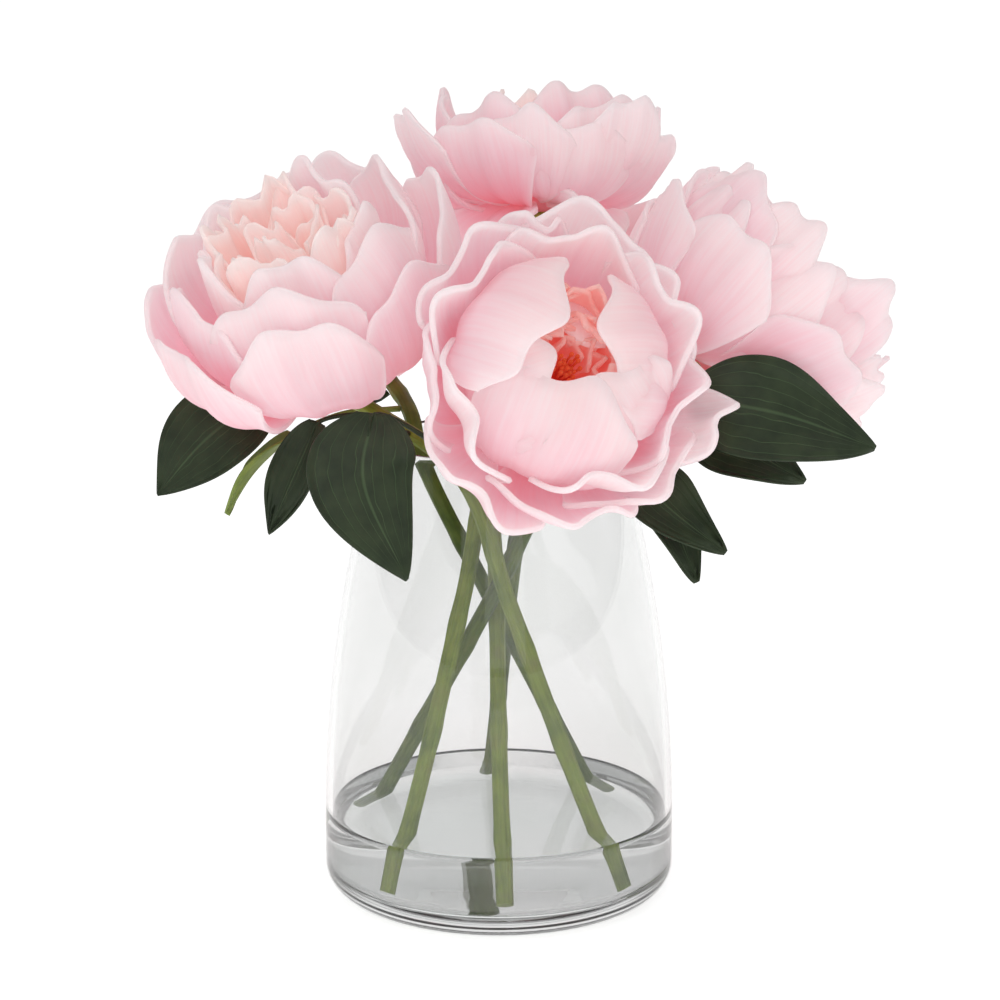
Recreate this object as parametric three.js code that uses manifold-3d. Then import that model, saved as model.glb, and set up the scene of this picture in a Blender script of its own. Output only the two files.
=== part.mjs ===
// Peonies in a bell-shaped glass vase with a little water, cut stems crossing in the neck.
// Millimetres, Z up, the foot of the vase on the floor at the origin.
import * as THREE from "three";
import { mergeVertices } from "three/addons/utils/BufferGeometryUtils.js";
import Module from "manifold-3d";

const wasm = await Module();
wasm.setup();

// Vase
const VASE_HEIGHT = 170;
const FOOT_RADIUS = 55;
const FOOT_ROUNDING = 10;
const BODY_RADIUS = 65;
const BELL_START = 20;
const RIM_RADIUS = 44;
const BELL_POWER = 2.1;
const WALL = 2.6;
const FLOOR = 8;
const VASE_SIDES = 24;

// Water
const WATER_LEVEL = 31;
const MENISCUS = 1.2;

// Stems, sepals and petals
const GAP = 0.3;
const STEM_RADIUS = 2.9;
const STEM_SIDES = 6;
const STEM_STEPS = 10;
const CUP_DEPTH = 7;
const PETAL_THICKNESS = 1.1;
const SEPAL_THICKNESS = 1.0;
const LEAF_THICKNESS = 0.9;
const CORE_RADIUS = 8;
const CORE_HEIGHT = 14;
const HEART_CORE = 6;
const BOWL_CENTRE = 26;

const COLOURS = {
  glass: "#dfe6e4",
  water: "#dcebea",
  stem: "#6f8347",
  calyx: "#93a24a",
  petal: "#f4c3cb",
  heart: "#f0958c",
  stamens: "#e2583f",
  leaf: "#33432f",
  leafPale: "#7d8f45",
};

const vec = (p) => new THREE.Vector3(p[0], p[1], p[2]);
const rad = THREE.MathUtils.degToRad;

// A repeatable number between -1 and 1 for each seed
function jitter(seed) {
  const s = Math.sin(seed * 12.9898) * 43758.5453;
  return 2 * (s - Math.floor(s)) - 1;
}

// Slows a distance down as it nears a boundary, so that it never goes below the gap
function ease(distance, gap, reach) {
  if (distance >= reach) return distance;
  return gap + (reach - gap) * Math.exp((distance - reach) / (reach - gap));
}

// Closed surfaces as solids

function toSolid(geometry) {
  geometry.deleteAttribute("normal");
  geometry.deleteAttribute("uv");
  const merged = mergeVertices(geometry, 1e-4);
  const points = merged.attributes.position.array;
  const corners = [];
  const index = merged.index.array;
  for (let i = 0; i < index.length; i += 3) {
    const [a, b, c] = [index[i], index[i + 1], index[i + 2]];
    if (a !== b && b !== c && c !== a) corners.push(a, b, c);
  }
  const p = (i) => new THREE.Vector3().fromArray(points, 3 * i);
  let volume = 0;
  for (let i = 0; i < corners.length; i += 3) {
    volume += p(corners[i]).dot(p(corners[i + 1]).cross(p(corners[i + 2])));
  }
  if (volume < 0) corners.reverse();
  const mesh = new wasm.Mesh({
    numProp: 3,
    vertProperties: Float32Array.from(points),
    triVerts: Uint32Array.from(corners),
  });
  return new wasm.Manifold(mesh);
}

// Joins parts and keeps the one body with its inside filled
function fuse(solids) {
  const joined = wasm.Manifold.union(solids);
  const bodies = joined.decompose();
  let best = bodies[0];
  for (const body of bodies) {
    if (body.volume() > best.volume()) best = body;
  }
  return best;
}

function revolve(profile, sides) {
  const outline = profile.map(([r, z]) => new THREE.Vector2(r, z));
  const geometry = new THREE.LatheGeometry(outline, sides);
  geometry.rotateX(Math.PI / 2);
  return geometry;
}

function ellipsoid(radius, halfHeight, frame, height, sides, bands) {
  const geometry = new THREE.SphereGeometry(1, sides, bands);
  geometry.rotateX(Math.PI / 2);
  geometry.scale(radius, radius, halfHeight);
  geometry.translate(0, 0, height);
  return toSolid(geometry.applyMatrix4(frame));
}

function tube(points, radius, sides, steps) {
  const outline = new THREE.Shape();
  for (let i = 0; i < sides; i += 1) {
    const a = (2 * Math.PI * i) / sides;
    const [x, y] = [radius * Math.cos(a), radius * Math.sin(a)];
    if (i === 0) outline.moveTo(x, y);
    else outline.lineTo(x, y);
  }
  outline.closePath();
  const path = new THREE.CatmullRomCurve3(points);
  return toSolid(new THREE.ExtrudeGeometry(outline, { steps, bevelEnabled: false, extrudePath: path }));
}

// A thin blade along a waved middle surface, split alike on both faces
function blade(surface, lengthSteps, widthSteps, thickness) {
  const e = 0.01;
  const normalAt = (u, v) => {
    const du = surface(Math.min(u + e, 1), v).sub(surface(Math.max(u - e, 0), v));
    const dv = surface(u, Math.min(v + e, 1)).sub(surface(u, Math.max(v - e, -1)));
    return du.cross(dv).normalize();
  };
  const positions = [];
  for (const side of [0.5, -0.5]) {
    for (let i = 0; i <= lengthSteps; i += 1) {
      for (let j = 0; j <= widthSteps; j += 1) {
        const u = i / lengthSteps;
        const v = (2 * j) / widthSteps - 1;
        const p = surface(u, v).addScaledVector(normalAt(u, v), side * thickness);
        positions.push(p.x, p.y, p.z);
      }
    }
  }
  const row = widthSteps + 1;
  const half = row * (lengthSteps + 1);
  const at = (i, j) => i * row + j;
  const index = [];
  for (let i = 0; i < lengthSteps; i += 1) {
    for (let j = 0; j < widthSteps; j += 1) {
      const [a, b, c, d] = [at(i, j), at(i + 1, j), at(i + 1, j + 1), at(i, j + 1)];
      index.push(a, b, c, a, c, d);
      index.push(half + a, half + c, half + b, half + a, half + d, half + c);
    }
  }
  const border = [];
  for (let j = 0; j < widthSteps; j += 1) border.push([at(0, j), at(0, j + 1)]);
  for (let i = 0; i < lengthSteps; i += 1) border.push([at(i, widthSteps), at(i + 1, widthSteps)]);
  for (let j = widthSteps; j > 0; j -= 1) border.push([at(lengthSteps, j), at(lengthSteps, j - 1)]);
  for (let i = lengthSteps; i > 0; i -= 1) border.push([at(i, 0), at(i - 1, 0)]);
  for (const [a, b] of border) index.push(a, b, half + a, b, half + b, half + a);
  const geometry = new THREE.BufferGeometry();
  geometry.setAttribute("position", new THREE.Float32BufferAttribute(positions, 3));
  geometry.setIndex(index);
  return toSolid(geometry);
}

// Petal rings, from the outside in. A path runs from the root to the rim of a petal as four
// control points, each the distance from the bloom's axis and the height over its base
const OUTER = {
  path: [[4, 4.5], [34, -2], [50, 14], [53, 40]],
  width: 58, arc: 36, round: 0.36, curl: -2, shingle: 3, ruffle: 1.8,
};
const MIDDLE = {
  path: [[4, 8], [34, 3], [46, 26], [42, 50]],
  width: 54, arc: 34, round: 0.3, curl: 2, shingle: 3, ruffle: 2,
};
const BALL = {
  path: [[3, 12], [42, 8], [46, 58], [12, 58]],
  width: 56, arc: 34, round: 0.2, curl: 0.5, shingle: 1, ruffle: 0.8,
};
const HEART = {
  path: [[2, 18], [21, 17], [28, 38], [15, 51]],
  width: 28, arc: 13, round: 0.3, curl: 1, shingle: 1.5, ruffle: 2,
};
const SEPAL = {
  path: [[4, -1.9], [9, -2.3], [14, -2.7], [19, -2.4]],
  width: 17, arc: 30, round: 0.5, curl: 0.4, shingle: 0, ruffle: 0.4,
};

// Blooms: base point over the stem, facing direction, rings of petals from the outside in
const BLOOMS = {
  front: {
    seed: 1,
    base: [14.5, -37, 192],
    facing: [0.22, -0.89, 0.41],
    sepals: 4,
    grid: [3, 4],
    rings: [
      {
        ...OUTER, ruffle: 3.2,
        angles: [33, -16, -60, -146, 176, 138, 86, 6, -112],
        sizes: [1.12, 1, 1, 1, 1, 1, 0.98, 1.08, 1.04],
        widths: [1.05, 1, 1, 1, 1, 1, 1, 0.55, 0.6],
      },
      { ...MIDDLE, ruffle: 4, angles: [48, -8, -62, -118, -165, 112] },
      { ...BALL, angles: [54, 104, 158, -86], widths: [1.15, 1, 1.2, 1.2], lifts: [3, 0, 4.2, 1.2] },
    ],
    heart: { ...HEART, path: [[2, 18], [21, 17], [28, 38], [13, 50]], count: 5, turn: 20 },
  },
  left: {
    seed: 2,
    base: [-60, 4, 197],
    facing: [-0.3, -0.42, 0.86],
    sepals: 4,
    grid: [3, 4],
    rings: [
      {
        ...OUTER, path: [[4, 4.5], [42, -5], [59, 16], [54, 46]], width: 62, arc: 40,
        angles: [12, 64, 115, 163, 216, 268, 320],
        sizes: [1.12, 1.05, 1.02, 1.06, 1.08, 1.04, 1.1],
      },
      {
        ...MIDDLE, path: [[4, 8], [38, 4], [54, 30], [42, 60]], width: 60, arc: 38,
        curl: -1, count: 6, turn: 35,
      },
      {
        ...MIDDLE, path: [[3, 11], [28, 9], [38, 34], [29, 62]], width: 44, arc: 26,
        curl: 1, ruffle: 2.4, count: 5, turn: 5,
      },
    ],
    heart: {
      ...HEART, path: [[2, 18], [15, 18], [24, 36], [20, 58]], width: 30,
      ruffle: 2.6, count: 5, turn: 20,
    },
  },
  right: {
    seed: 3,
    base: [66, -1, 198],
    facing: [0.76, 0.3, 0.58],
    sepals: 3,
    grid: [3, 4],
    rings: [
      {
        ...OUTER, path: [[4, 4.5], [34, -2], [48, 12], [53, 34]], width: 54, arc: 34,
        curl: 0.5, ruffle: 1, count: 7, turn: 0,
      },
      {
        ...MIDDLE, path: [[4, 8], [34, 3], [53, 24], [50, 54]], width: 52, arc: 34,
        curl: 1, ruffle: 1.5, count: 6, turn: 28,
      },
      {
        ...MIDDLE, path: [[3, 11], [32, 8], [48, 34], [38, 61]], width: 52, arc: 32,
        curl: 1, count: 4, turn: 10,
      },
    ],
    heart: { ...HEART, count: 4, turn: 30 },
  },
  back: {
    seed: 4,
    base: [15, 50, 246],
    facing: [-0.05, 0.25, 0.97],
    sepals: 3,
    grid: [3, 3],
    rings: [
      {
        ...OUTER, path: [[4, 4.5], [34, -3], [48, 8], [50, 28]], width: 54, arc: 30,
        curl: 0.5, ruffle: 1, count: 7, turn: 8,
      },
      {
        ...MIDDLE, path: [[4, 8], [34, 3], [50, 16], [44, 38]], width: 50, arc: 30,
        curl: 1, count: 5, turn: 30,
      },
      {
        ...MIDDLE, path: [[3, 11], [28, 9], [42, 24], [30, 43]], width: 50, arc: 28,
        curl: 1, count: 3, turn: 15,
      },
    ],
    heart: { ...HEART, path: [[2, 18], [18, 17], [24, 30], [13, 41]], count: 4, turn: 0 },
  },
  rear_left: {
    seed: 5,
    base: [-50, 62, 190],
    facing: [-0.55, 0.6, 0.55],
    sepals: 3,
    grid: [3, 3],
    rings: [
      { ...OUTER, width: 60, arc: 32, count: 5, turn: 20 },
      { ...MIDDLE, width: 56, arc: 30, count: 4, turn: 50 },
    ],
    heart: { ...HEART, width: 32, count: 3, turn: 15 },
  },
  rear_right: {
    seed: 6,
    base: [46, 70, 188],
    facing: [0.45, 0.7, 0.55],
    sepals: 3,
    grid: [3, 3],
    rings: [
      { ...OUTER, width: 60, arc: 32, count: 5, turn: 5 },
      { ...MIDDLE, width: 56, arc: 30, count: 4, turn: 32 },
    ],
    heart: { ...HEART, width: 32, count: 3, turn: 40 },
  },
};

// Pairs of blooms that press against each other
const NEIGHBOURS = [
  ["front", "left"],
  ["front", "back"],
  ["front", "right"],
  ["left", "back"],
  ["right", "back"],
  ["left", "rear_left"],
  ["back", "rear_left"],
  ["back", "rear_right"],
  ["right", "rear_right"],
  ["rear_left", "rear_right"],
];

// Stem lines from the floor of the vase through its neck
const STEMS = {
  left: [[43, -37, 11.3], [23, -31, 62], [4, -24, 113], [-14, -17, 160]],
  rear_left: [[43, 34, 11.3], [18, 24, 62], [-7, 17, 113], [-29, 14, 160], [-32, 20, 173]],
  rear_right: [[-38, -41, 11.3], [-25, -27, 62], [-13, -11, 113], [-1, 5, 160]],
  right: [[-54, 17, 11.3], [-28, 3, 62], [-2, -9, 113], [21, -19, 160]],
  back: [[2, -53, 11.3], [0, -24, 62], [-1, 5, 113], [-3, 32, 160], [4, 42, 195]],
  front: [[-5, 55, 11.3], [0, 39, 62], [5, 23, 113], [10, 7, 160]],
};

// Leaves: the stem and height they grow from, points along the midrib to the tip,
// the way the upper face looks, and the width of the blade
const LEAVES = {
  leaf_left_far: {
    stem: "left", z: 186, out: [-0.4, 0.9, -0.1], width: 32, face: [0.1, -0.8, 0.6], fold: 0.2,
    midrib: [[-64, 20, 184], [-84, 14, 184], [-107, 6, 168], [-125, 3, 148]], blade: 1, pale: false,
  },
  leaf_left_narrow: {
    stem: "left", z: 172, out: [-0.5, -0.8, 0.3], width: 17, face: [-0.3, -0.9, 0.3], fold: 0.35,
    midrib: [[-46, -20, 182], [-64, -24, 180], [-73, -25, 160], [-82, -25, 140]], blade: 1, pale: false,
  },
  leaf_left_large: {
    stem: "left", z: 166, out: [-0.2, -0.95, 0.3], width: 37, face: [-0.2, -0.85, 0.5], fold: 0.15,
    midrib: [[-27, -36, 178], [-43, -50, 188], [-46, -64, 168], [-31, -80, 137]], blade: 1, pale: false,
  },
  leaf_left_back: {
    stem: "rear_left", z: 176, out: [-0.9, 0.2, 0.1], width: 22, face: [-0.1, 0.2, 1], fold: 0.3,
    midrib: [[-58, 26, 174], [-76, 16, 168], [-90, 8, 155], [-100, 6, 140]], blade: 1, pale: true,
  },
  leaf_right_large: {
    stem: "right", z: 184, out: [0.2, -0.95, 0.2], width: 41, face: [0, -0.75, 0.65], fold: 0.15,
    midrib: [[52, -30, 184], [64, -42, 192], [96, -50, 188], [131, -40, 174]], blade: 1, pale: false,
  },
  leaf_right_back: {
    stem: "right", z: 179, out: [0.4, -0.8, -0.2], width: 26, face: [0.1, -0.8, 0.6], fold: 0.2,
    midrib: [[52, -24, 176], [66, -26, 178], [86, -31, 172], [108, -30, 160]], blade: 1, pale: false,
  },
  leaf_centre_front: {
    stem: "front", z: 170, out: [0.7, -0.6, 0.4], width: 24, face: [0.3, -0.8, 0.5], fold: 0.2,
    midrib: [[32, -26, 175], [42, -40, 171], [58, -53, 156], [78, -58, 141]], blade: 1, pale: false,
  },
  leaf_centre_low: {
    stem: "right", z: 173, out: [0.3, -0.9, 0.2], width: 22, face: [0.5, -0.7, 0.5], fold: 0.2,
    midrib: [[45, -25, 173], [53, -33, 163], [61, -41, 147], [69, -48, 128]], blade: 1, pale: false,
  },
  leaf_rear_left: {
    stem: "rear_left", z: 180, out: [-0.8, -0.3, -0.6], width: 34, face: [-0.3, 0.6, 0.7], fold: 0.2,
    midrib: [[-60, 40, 174], [-78, 50, 176], [-98, 58, 178], [-112, 66, 170]], blade: 0, pale: false,
  },
  leaf_rear_mid: {
    stem: "back", z: 196, out: [0.2, 0.9, 0], width: 30, face: [0, 0.7, 0.7], fold: 0.2,
    midrib: [[7, 59, 200], [2, 79, 204], [-2, 98, 200], [-2, 118, 188]], blade: 0, pale: false,
  },
  leaf_rear_right: {
    stem: "rear_right", z: 176, out: [0.5, -0.4, -0.4], width: 34, face: [0.4, 0.6, 0.7], fold: 0.2,
    midrib: [[52, 42, 174], [72, 52, 174], [92, 62, 174], [112, 70, 164]], blade: 0, pale: false,
  },
};

// Frames and boundaries

function bloomFrame(bloom) {
  const axis = vec(bloom.facing).normalize();
  const up = new THREE.Vector3(0, 0, 1);
  const first = up.addScaledVector(axis, -axis.z).normalize();
  const second = new THREE.Vector3().crossVectors(axis, first);
  return { origin: vec(bloom.base), axis, first, second };
}

function frameMatrix(frame) {
  const matrix = new THREE.Matrix4().makeBasis(frame.first, frame.second, frame.axis);
  return matrix.setPosition(frame.origin);
}

const FRAMES = {};
for (const name of Object.keys(BLOOMS)) FRAMES[name] = bloomFrame(BLOOMS[name]);

const bowlCentre = (name) => FRAMES[name].origin.clone().addScaledVector(FRAMES[name].axis, BOWL_CENTRE);

function planesOf(name) {
  const planes = [];
  for (const [a, b] of NEIGHBOURS) {
    if (a !== name && b !== name) continue;
    const other = a === name ? b : a;
    const normal = bowlCentre(name).sub(bowlCentre(other)).normalize();
    const middle = bowlCentre(name).add(bowlCentre(other)).multiplyScalar(0.5);
    planes.push({ normal, middle });
  }
  return planes;
}

// Keeps petals on their own side of each neighbour and off the rim of the vase
function keepPetal(point, planes) {
  for (const { normal, middle } of planes) {
    const distance = point.clone().sub(middle).dot(normal);
    point.addScaledVector(normal, ease(distance, 1.2, 9) - distance);
  }
  return keepOffNeck(point);
}

function keepOffNeck(point) {
  const centre = new THREE.Vector3(0, 0, VASE_HEIGHT - 30);
  const away = point.clone().sub(centre);
  const length = away.length();
  return centre.addScaledVector(away, (56 + ease(length - 56, 1, 6)) / length);
}

// Keeps a leaf clear of the bowl of each bloom
function keepLeaf(point) {
  for (const frame of Object.values(FRAMES)) {
    const centre = frame.origin.clone().addScaledVector(frame.axis, 33);
    const offset = point.clone().sub(centre);
    const along = offset.dot(frame.axis);
    const across = offset.clone().addScaledVector(frame.axis, -along).length();
    const reach = Math.hypot(across / 57, along / 33);
    const size = offset.length() / reach;
    const distance = offset.length() - size;
    const kept = size + ease(distance, 1.5, 7);
    point = centre.addScaledVector(offset, kept / offset.length());
  }
  return point;
}

// Petals

// One petal: its path from root to rim, rolled across its width, one side lifted over the next petal
function petalSurface(frame, planes, ring, place, seed) {
  const { angle, lift, size, breadth } = place;
  const [root, belly, shoulder, tip] = ring.path.map(([r, h]) => new THREE.Vector2(r, h));
  for (const p of [belly, shoulder, tip]) p.sub(root).multiplyScalar(size).add(root);
  shoulder.add(new THREE.Vector2(3 * jitter(seed + 0.1), 2 * jitter(seed + 0.2)));
  tip.add(new THREE.Vector2(5 * jitter(seed + 0.1), 4 * jitter(seed + 0.2)));
  const path = new THREE.CubicBezierCurve(root, belly, shoulder, tip);
  const halfWidth = 0.5 * ring.width * breadth * (1 + 0.08 * jitter(seed + 0.3));
  const phase = Math.PI * jitter(seed + 0.4);
  const turn = rad(angle);
  return (u, v) => {
    const rounding = ring.round * (1 - Math.sqrt(1 - 0.97 * v * v));
    const reach = u * (1 - rounding + 0.025 * Math.sin(7 * v + phase));
    const spot = path.getPoint(reach);
    const rise = path.getTangent(reach);
    const width = 1 + halfWidth * Math.sin(1.75 * reach ** 0.85 + 0.08) ** 1.7;
    const bend = (v * width) / ring.arc;
    const cup = ring.arc * (1 - Math.cos(bend)) * Math.min(1, 1.5 * reach) * (1 - 0.3 * reach ** 3);
    const curl = ring.curl * Math.max(0, (reach - 0.6) / 0.4) ** 2;
    const wave = ring.ruffle * reach ** 3 * Math.sin(5 * v + phase);
    const out = lift + ring.shingle * v * (0.6 + 0.4 * reach) - cup + curl + wave;
    const side = ring.arc * Math.sin(bend);
    const across = spot.x + out * rise.y;
    const along = spot.y - out * rise.x;
    const point = frame.origin.clone();
    point.addScaledVector(frame.first, across * Math.cos(turn) - side * Math.sin(turn));
    point.addScaledVector(frame.second, across * Math.sin(turn) + side * Math.cos(turn));
    point.addScaledVector(frame.axis, along);
    return keepPetal(point, planes);
  };
}

// The angle of each petal of a ring, how far out it lies, its size and its breadth
function ringPlaces(ring, seed) {
  const count = ring.angles ? ring.angles.length : ring.count;
  return Array.from({ length: count }, (_, k) => ({
    angle: ring.angles ? ring.angles[k] : ring.turn + (360 * k) / count + 5 * jitter(seed + k),
    lift: ring.lifts ? ring.lifts[k] : 0,
    size: ring.sizes ? ring.sizes[k] : 1,
    breadth: ring.widths ? ring.widths[k] : 1,
  }));
}

function ringPetals(name, ring, seed, grid) {
  const planes = planesOf(name);
  return ringPlaces(ring, seed).map((place, k) => {
    const surface = petalSurface(FRAMES[name], planes, ring, place, seed + 3.7 * k);
    return blade(surface, grid[0], grid[1], PETAL_THICKNESS);
  });
}

function makeBloom(name) {
  const bloom = BLOOMS[name];
  const half = CORE_HEIGHT / 2;
  const core = ellipsoid(CORE_RADIUS, half, frameMatrix(FRAMES[name]), half, 7, 4);
  const petals = bloom.rings.flatMap((ring, i) => {
    const grid = i < 1 ? bloom.grid : [3, 3];
    return ringPetals(name, ring, 20 * bloom.seed + 5 * i, grid);
  });
  return fuse([core, ...petals]);
}

function makeHeart(name) {
  const bloom = BLOOMS[name];
  const height = CORE_HEIGHT + GAP + HEART_CORE;
  const core = ellipsoid(HEART_CORE, HEART_CORE, frameMatrix(FRAMES[name]), height, 6, 4);
  return fuse([core, ...ringPetals(name, bloom.heart, 20 * bloom.seed + 17, [3, 2])]);
}

// A tuft of fine stalks, each with a swollen tip
function makeStamens(name) {
  const matrix = frameMatrix(FRAMES[name]);
  const foot = CORE_HEIGHT + 2 * GAP + 2 * HEART_CORE;
  const parts = [ellipsoid(3.6, 2.2, matrix, foot + 2.2, 7, 4)];
  for (let k = 0; k < 5; k += 1) {
    const a = 2.4 * k;
    const spread = 1.2 + 0.45 * k;
    const way = new THREE.Vector3(Math.cos(a), Math.sin(a), 0);
    const tip = way.clone().multiplyScalar(2.1 * spread).setZ(foot + 15 + 2 * jitter(k));
    const root = way.clone().multiplyScalar(0.55 * spread).setZ(foot + 1.6);
    const bend = root.clone().lerp(tip, 0.5).addScaledVector(way, 0.7);
    const points = [root, bend, tip].map((p) => p.clone().applyMatrix4(matrix));
    parts.push(tube(points, 0.6, 4, 2));
    const knob = new THREE.OctahedronGeometry(1, 0);
    knob.scale(1.1, 1.1, 2);
    knob.translate(tip.x, tip.y, tip.z);
    parts.push(toSolid(knob.applyMatrix4(matrix)));
  }
  return fuse(parts);
}

// Green cup under a bloom with its broad sepals
function makeCalyx(name) {
  const frame = FRAMES[name];
  const profile = [[0, -CUP_DEPTH], [3, -CUP_DEPTH], [6.4, -2.8], [5, -GAP], [0, -GAP]];
  const cup = toSolid(revolve(profile, 7).applyMatrix4(frameMatrix(frame)));
  const sepals = [];
  const count = BLOOMS[name].sepals;
  for (let k = 0; k < count; k += 1) {
    const angle = (360 * k) / count + 10 * jitter(k + BLOOMS[name].seed);
    const place = { angle, lift: 0, size: 1, breadth: 1 };
    const surface = petalSurface(frame, [], SEPAL, place, 7 * k + 1);
    sepals.push(blade(surface, 2, 2, SEPAL_THICKNESS));
  }
  return fuse([cup, ...sepals]);
}

// Stems

function stemPoints(name) {
  const frame = FRAMES[name];
  const points = STEMS[name].map(vec);
  points.push(frame.origin.clone().addScaledVector(frame.axis, -CUP_DEPTH - 8));
  points.push(frame.origin.clone().addScaledVector(frame.axis, -CUP_DEPTH - GAP));
  return points;
}

const makeStem = (name) => tube(stemPoints(name), STEM_RADIUS, STEM_SIDES, STEM_STEPS);

// The hole that a stem stands in, a little wider and deeper than the stem
function stemHole(name) {
  const [foot, next] = STEMS[name].slice(0, 2).map(vec);
  const slope = next.clone().sub(foot).normalize();
  const start = foot.clone().addScaledVector(slope, -GAP);
  const points = [start, foot.clone().lerp(next, 0.25), foot.clone().lerp(next, 0.5), next];
  return tube(points, STEM_RADIUS + 2.5 * GAP, 6, 2);
}

// Vase and water

function bellRadius(z) {
  const t = Math.max(0, (z - BELL_START) / (VASE_HEIGHT - BELL_START));
  return BODY_RADIUS - (BODY_RADIUS - RIM_RADIUS) * t ** BELL_POWER;
}

function vaseOutline() {
  const outline = [[0, 0], [FOOT_RADIUS, 0]];
  for (const a of [30, 60]) {
    outline.push([
      FOOT_RADIUS + FOOT_ROUNDING * Math.sin(rad(a)),
      FOOT_ROUNDING * (1 - Math.cos(rad(a))),
    ]);
  }
  for (const z of [FOOT_ROUNDING, BELL_START, 50, 88, 120, 146, 163]) outline.push([bellRadius(z), z]);
  outline.push([RIM_RADIUS - 0.2, 168.8], [RIM_RADIUS - 1.3, VASE_HEIGHT], [RIM_RADIUS - 2.4, 168.8]);
  for (const z of [163, 146, 120, 88, 50, BELL_START]) outline.push([bellRadius(z) - WALL, z]);
  const inside = BODY_RADIUS - WALL;
  outline.push([inside, 13], [inside - 1.5, 9.5], [inside - 5, FLOOR], [0, FLOOR]);
  return outline;
}

function waterOutline() {
  const side = BODY_RADIUS - WALL - GAP;
  return [
    [0, FLOOR + GAP],
    [side - 5, FLOOR + GAP],
    [side - 1.5, 9.5 + GAP],
    [side, 13 + GAP],
    [side, BELL_START],
    [bellRadius(WATER_LEVEL + MENISCUS) - WALL - GAP, WATER_LEVEL + MENISCUS],
    [side - 2.5, WATER_LEVEL],
    [0, WATER_LEVEL],
  ];
}

const makeVase = () => toSolid(revolve(vaseOutline(), VASE_SIDES));

function makeWater() {
  const body = toSolid(revolve(waterOutline(), VASE_SIDES));
  const holes = wasm.Manifold.union(Object.keys(STEMS).map(stemHole));
  return fuse([body.subtract(holes)]);
}

// Leaves

// The point and the direction of a stem at a height, on the straight lengths of its solid
function stemAt(name, height) {
  const knots = new THREE.CatmullRomCurve3(stemPoints(name)).getSpacedPoints(STEM_STEPS);
  const next = knots.findIndex((p) => p.z > height);
  const [a, b] = [knots[next - 1], knots[next]];
  const root = a.clone().lerp(b, (height - a.z) / (b.z - a.z));
  return [root, b.clone().sub(a).normalize()];
}

function leafPath(leaf) {
  const [root, tangent] = stemAt(leaf.stem, leaf.z);
  const out = vec(leaf.out);
  out.addScaledVector(tangent, -out.dot(tangent)).normalize();
  const start = root.clone().addScaledVector(out, STEM_RADIUS + GAP);
  const near = root.clone().addScaledVector(out, STEM_RADIUS + 5);
  return [start, near, ...leaf.midrib.map(vec)];
}

function leafSurface(leaf, rib) {
  const path = new THREE.CatmullRomCurve3(rib);
  const face = vec(leaf.face).normalize();
  return (u, v) => {
    const centre = path.getPoint(u);
    const tangent = path.getTangent(u);
    const side = new THREE.Vector3().crossVectors(tangent, face).normalize();
    const normal = new THREE.Vector3().crossVectors(side, tangent).normalize();
    const half = 0.5 * leaf.width * Math.sin(Math.PI * (0.04 + 0.96 * u) ** 0.8) ** 0.9 + 0.5;
    const wave = 0.9 * Math.sin(9 * u + 2 * v) * Math.abs(v);
    centre.addScaledVector(side, v * half);
    centre.addScaledVector(normal, leaf.fold * Math.abs(v) * half + wave);
    return keepOffNeck(keepLeaf(centre));
  };
}

function makeLeaf(leaf) {
  const points = leafPath(leaf);
  const grid = leaf.blade ? [4, 4] : [4, 2];
  const surface = leafSurface(leaf, points.slice(3));
  const stalk = [...points.slice(0, 3), surface(0.001, 0), surface(0.18, 0)];
  return fuse([blade(surface, grid[0], grid[1], LEAF_THICKNESS), tube(stalk, 1.2, 4, 4)]);
}

// The whole arrangement

const group = new THREE.Group();
group.name = "peonies_in_vase";

function addNode(name, solid, colour, roughness) {
  const mesh = solid.getMesh();
  const geometry = new THREE.BufferGeometry();
  const points = Float32Array.from(mesh.vertProperties);
  geometry.setAttribute("position", new THREE.BufferAttribute(points, 3));
  geometry.setIndex(new THREE.BufferAttribute(Uint32Array.from(mesh.triVerts), 1));
  geometry.computeVertexNormals();
  const material = new THREE.MeshStandardMaterial({ color: colour, roughness, metalness: 0 });
  material.name = name;
  const node = new THREE.Mesh(geometry, material);
  node.name = name;
  group.add(node);
}

addNode("vase_glass", makeVase(), COLOURS.glass, 0.05);
addNode("water", makeWater(), COLOURS.water, 0.05);
for (const name of Object.keys(BLOOMS)) {
  addNode(`stem_${name}`, makeStem(name), COLOURS.stem, 0.6);
  addNode(`calyx_${name}`, makeCalyx(name), COLOURS.calyx, 0.65);
  addNode(`bloom_${name}`, makeBloom(name), COLOURS.petal, 0.7);
  addNode(`heart_${name}`, makeHeart(name), COLOURS.heart, 0.7);
}
addNode("stamens_front", makeStamens("front"), COLOURS.stamens, 0.7);
for (const [name, leaf] of Object.entries(LEAVES)) {
  addNode(name, makeLeaf(leaf), leaf.pale ? COLOURS.leafPale : COLOURS.leaf, 0.6);
}

export default group;
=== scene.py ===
from functools import partial
import math

import bpy
import numpy as np
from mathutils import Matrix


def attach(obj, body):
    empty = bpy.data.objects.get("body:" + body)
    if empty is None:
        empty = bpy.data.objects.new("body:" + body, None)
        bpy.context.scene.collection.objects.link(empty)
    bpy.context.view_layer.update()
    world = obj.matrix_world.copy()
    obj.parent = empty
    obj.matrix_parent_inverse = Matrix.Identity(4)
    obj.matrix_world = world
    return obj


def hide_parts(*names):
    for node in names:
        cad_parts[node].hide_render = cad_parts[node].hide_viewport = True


bl_info = {
    "name": "Peonies in a Glass Vase",
    "version": (1, 0, 0),
    "blender": (4, 5, 0),
    "location": "View3D > Sidebar > Peonies",
    "description": "Petals, leaves, stems, water and glass of a bunch of peonies in a vase",
    "category": "Object",
}

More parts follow.
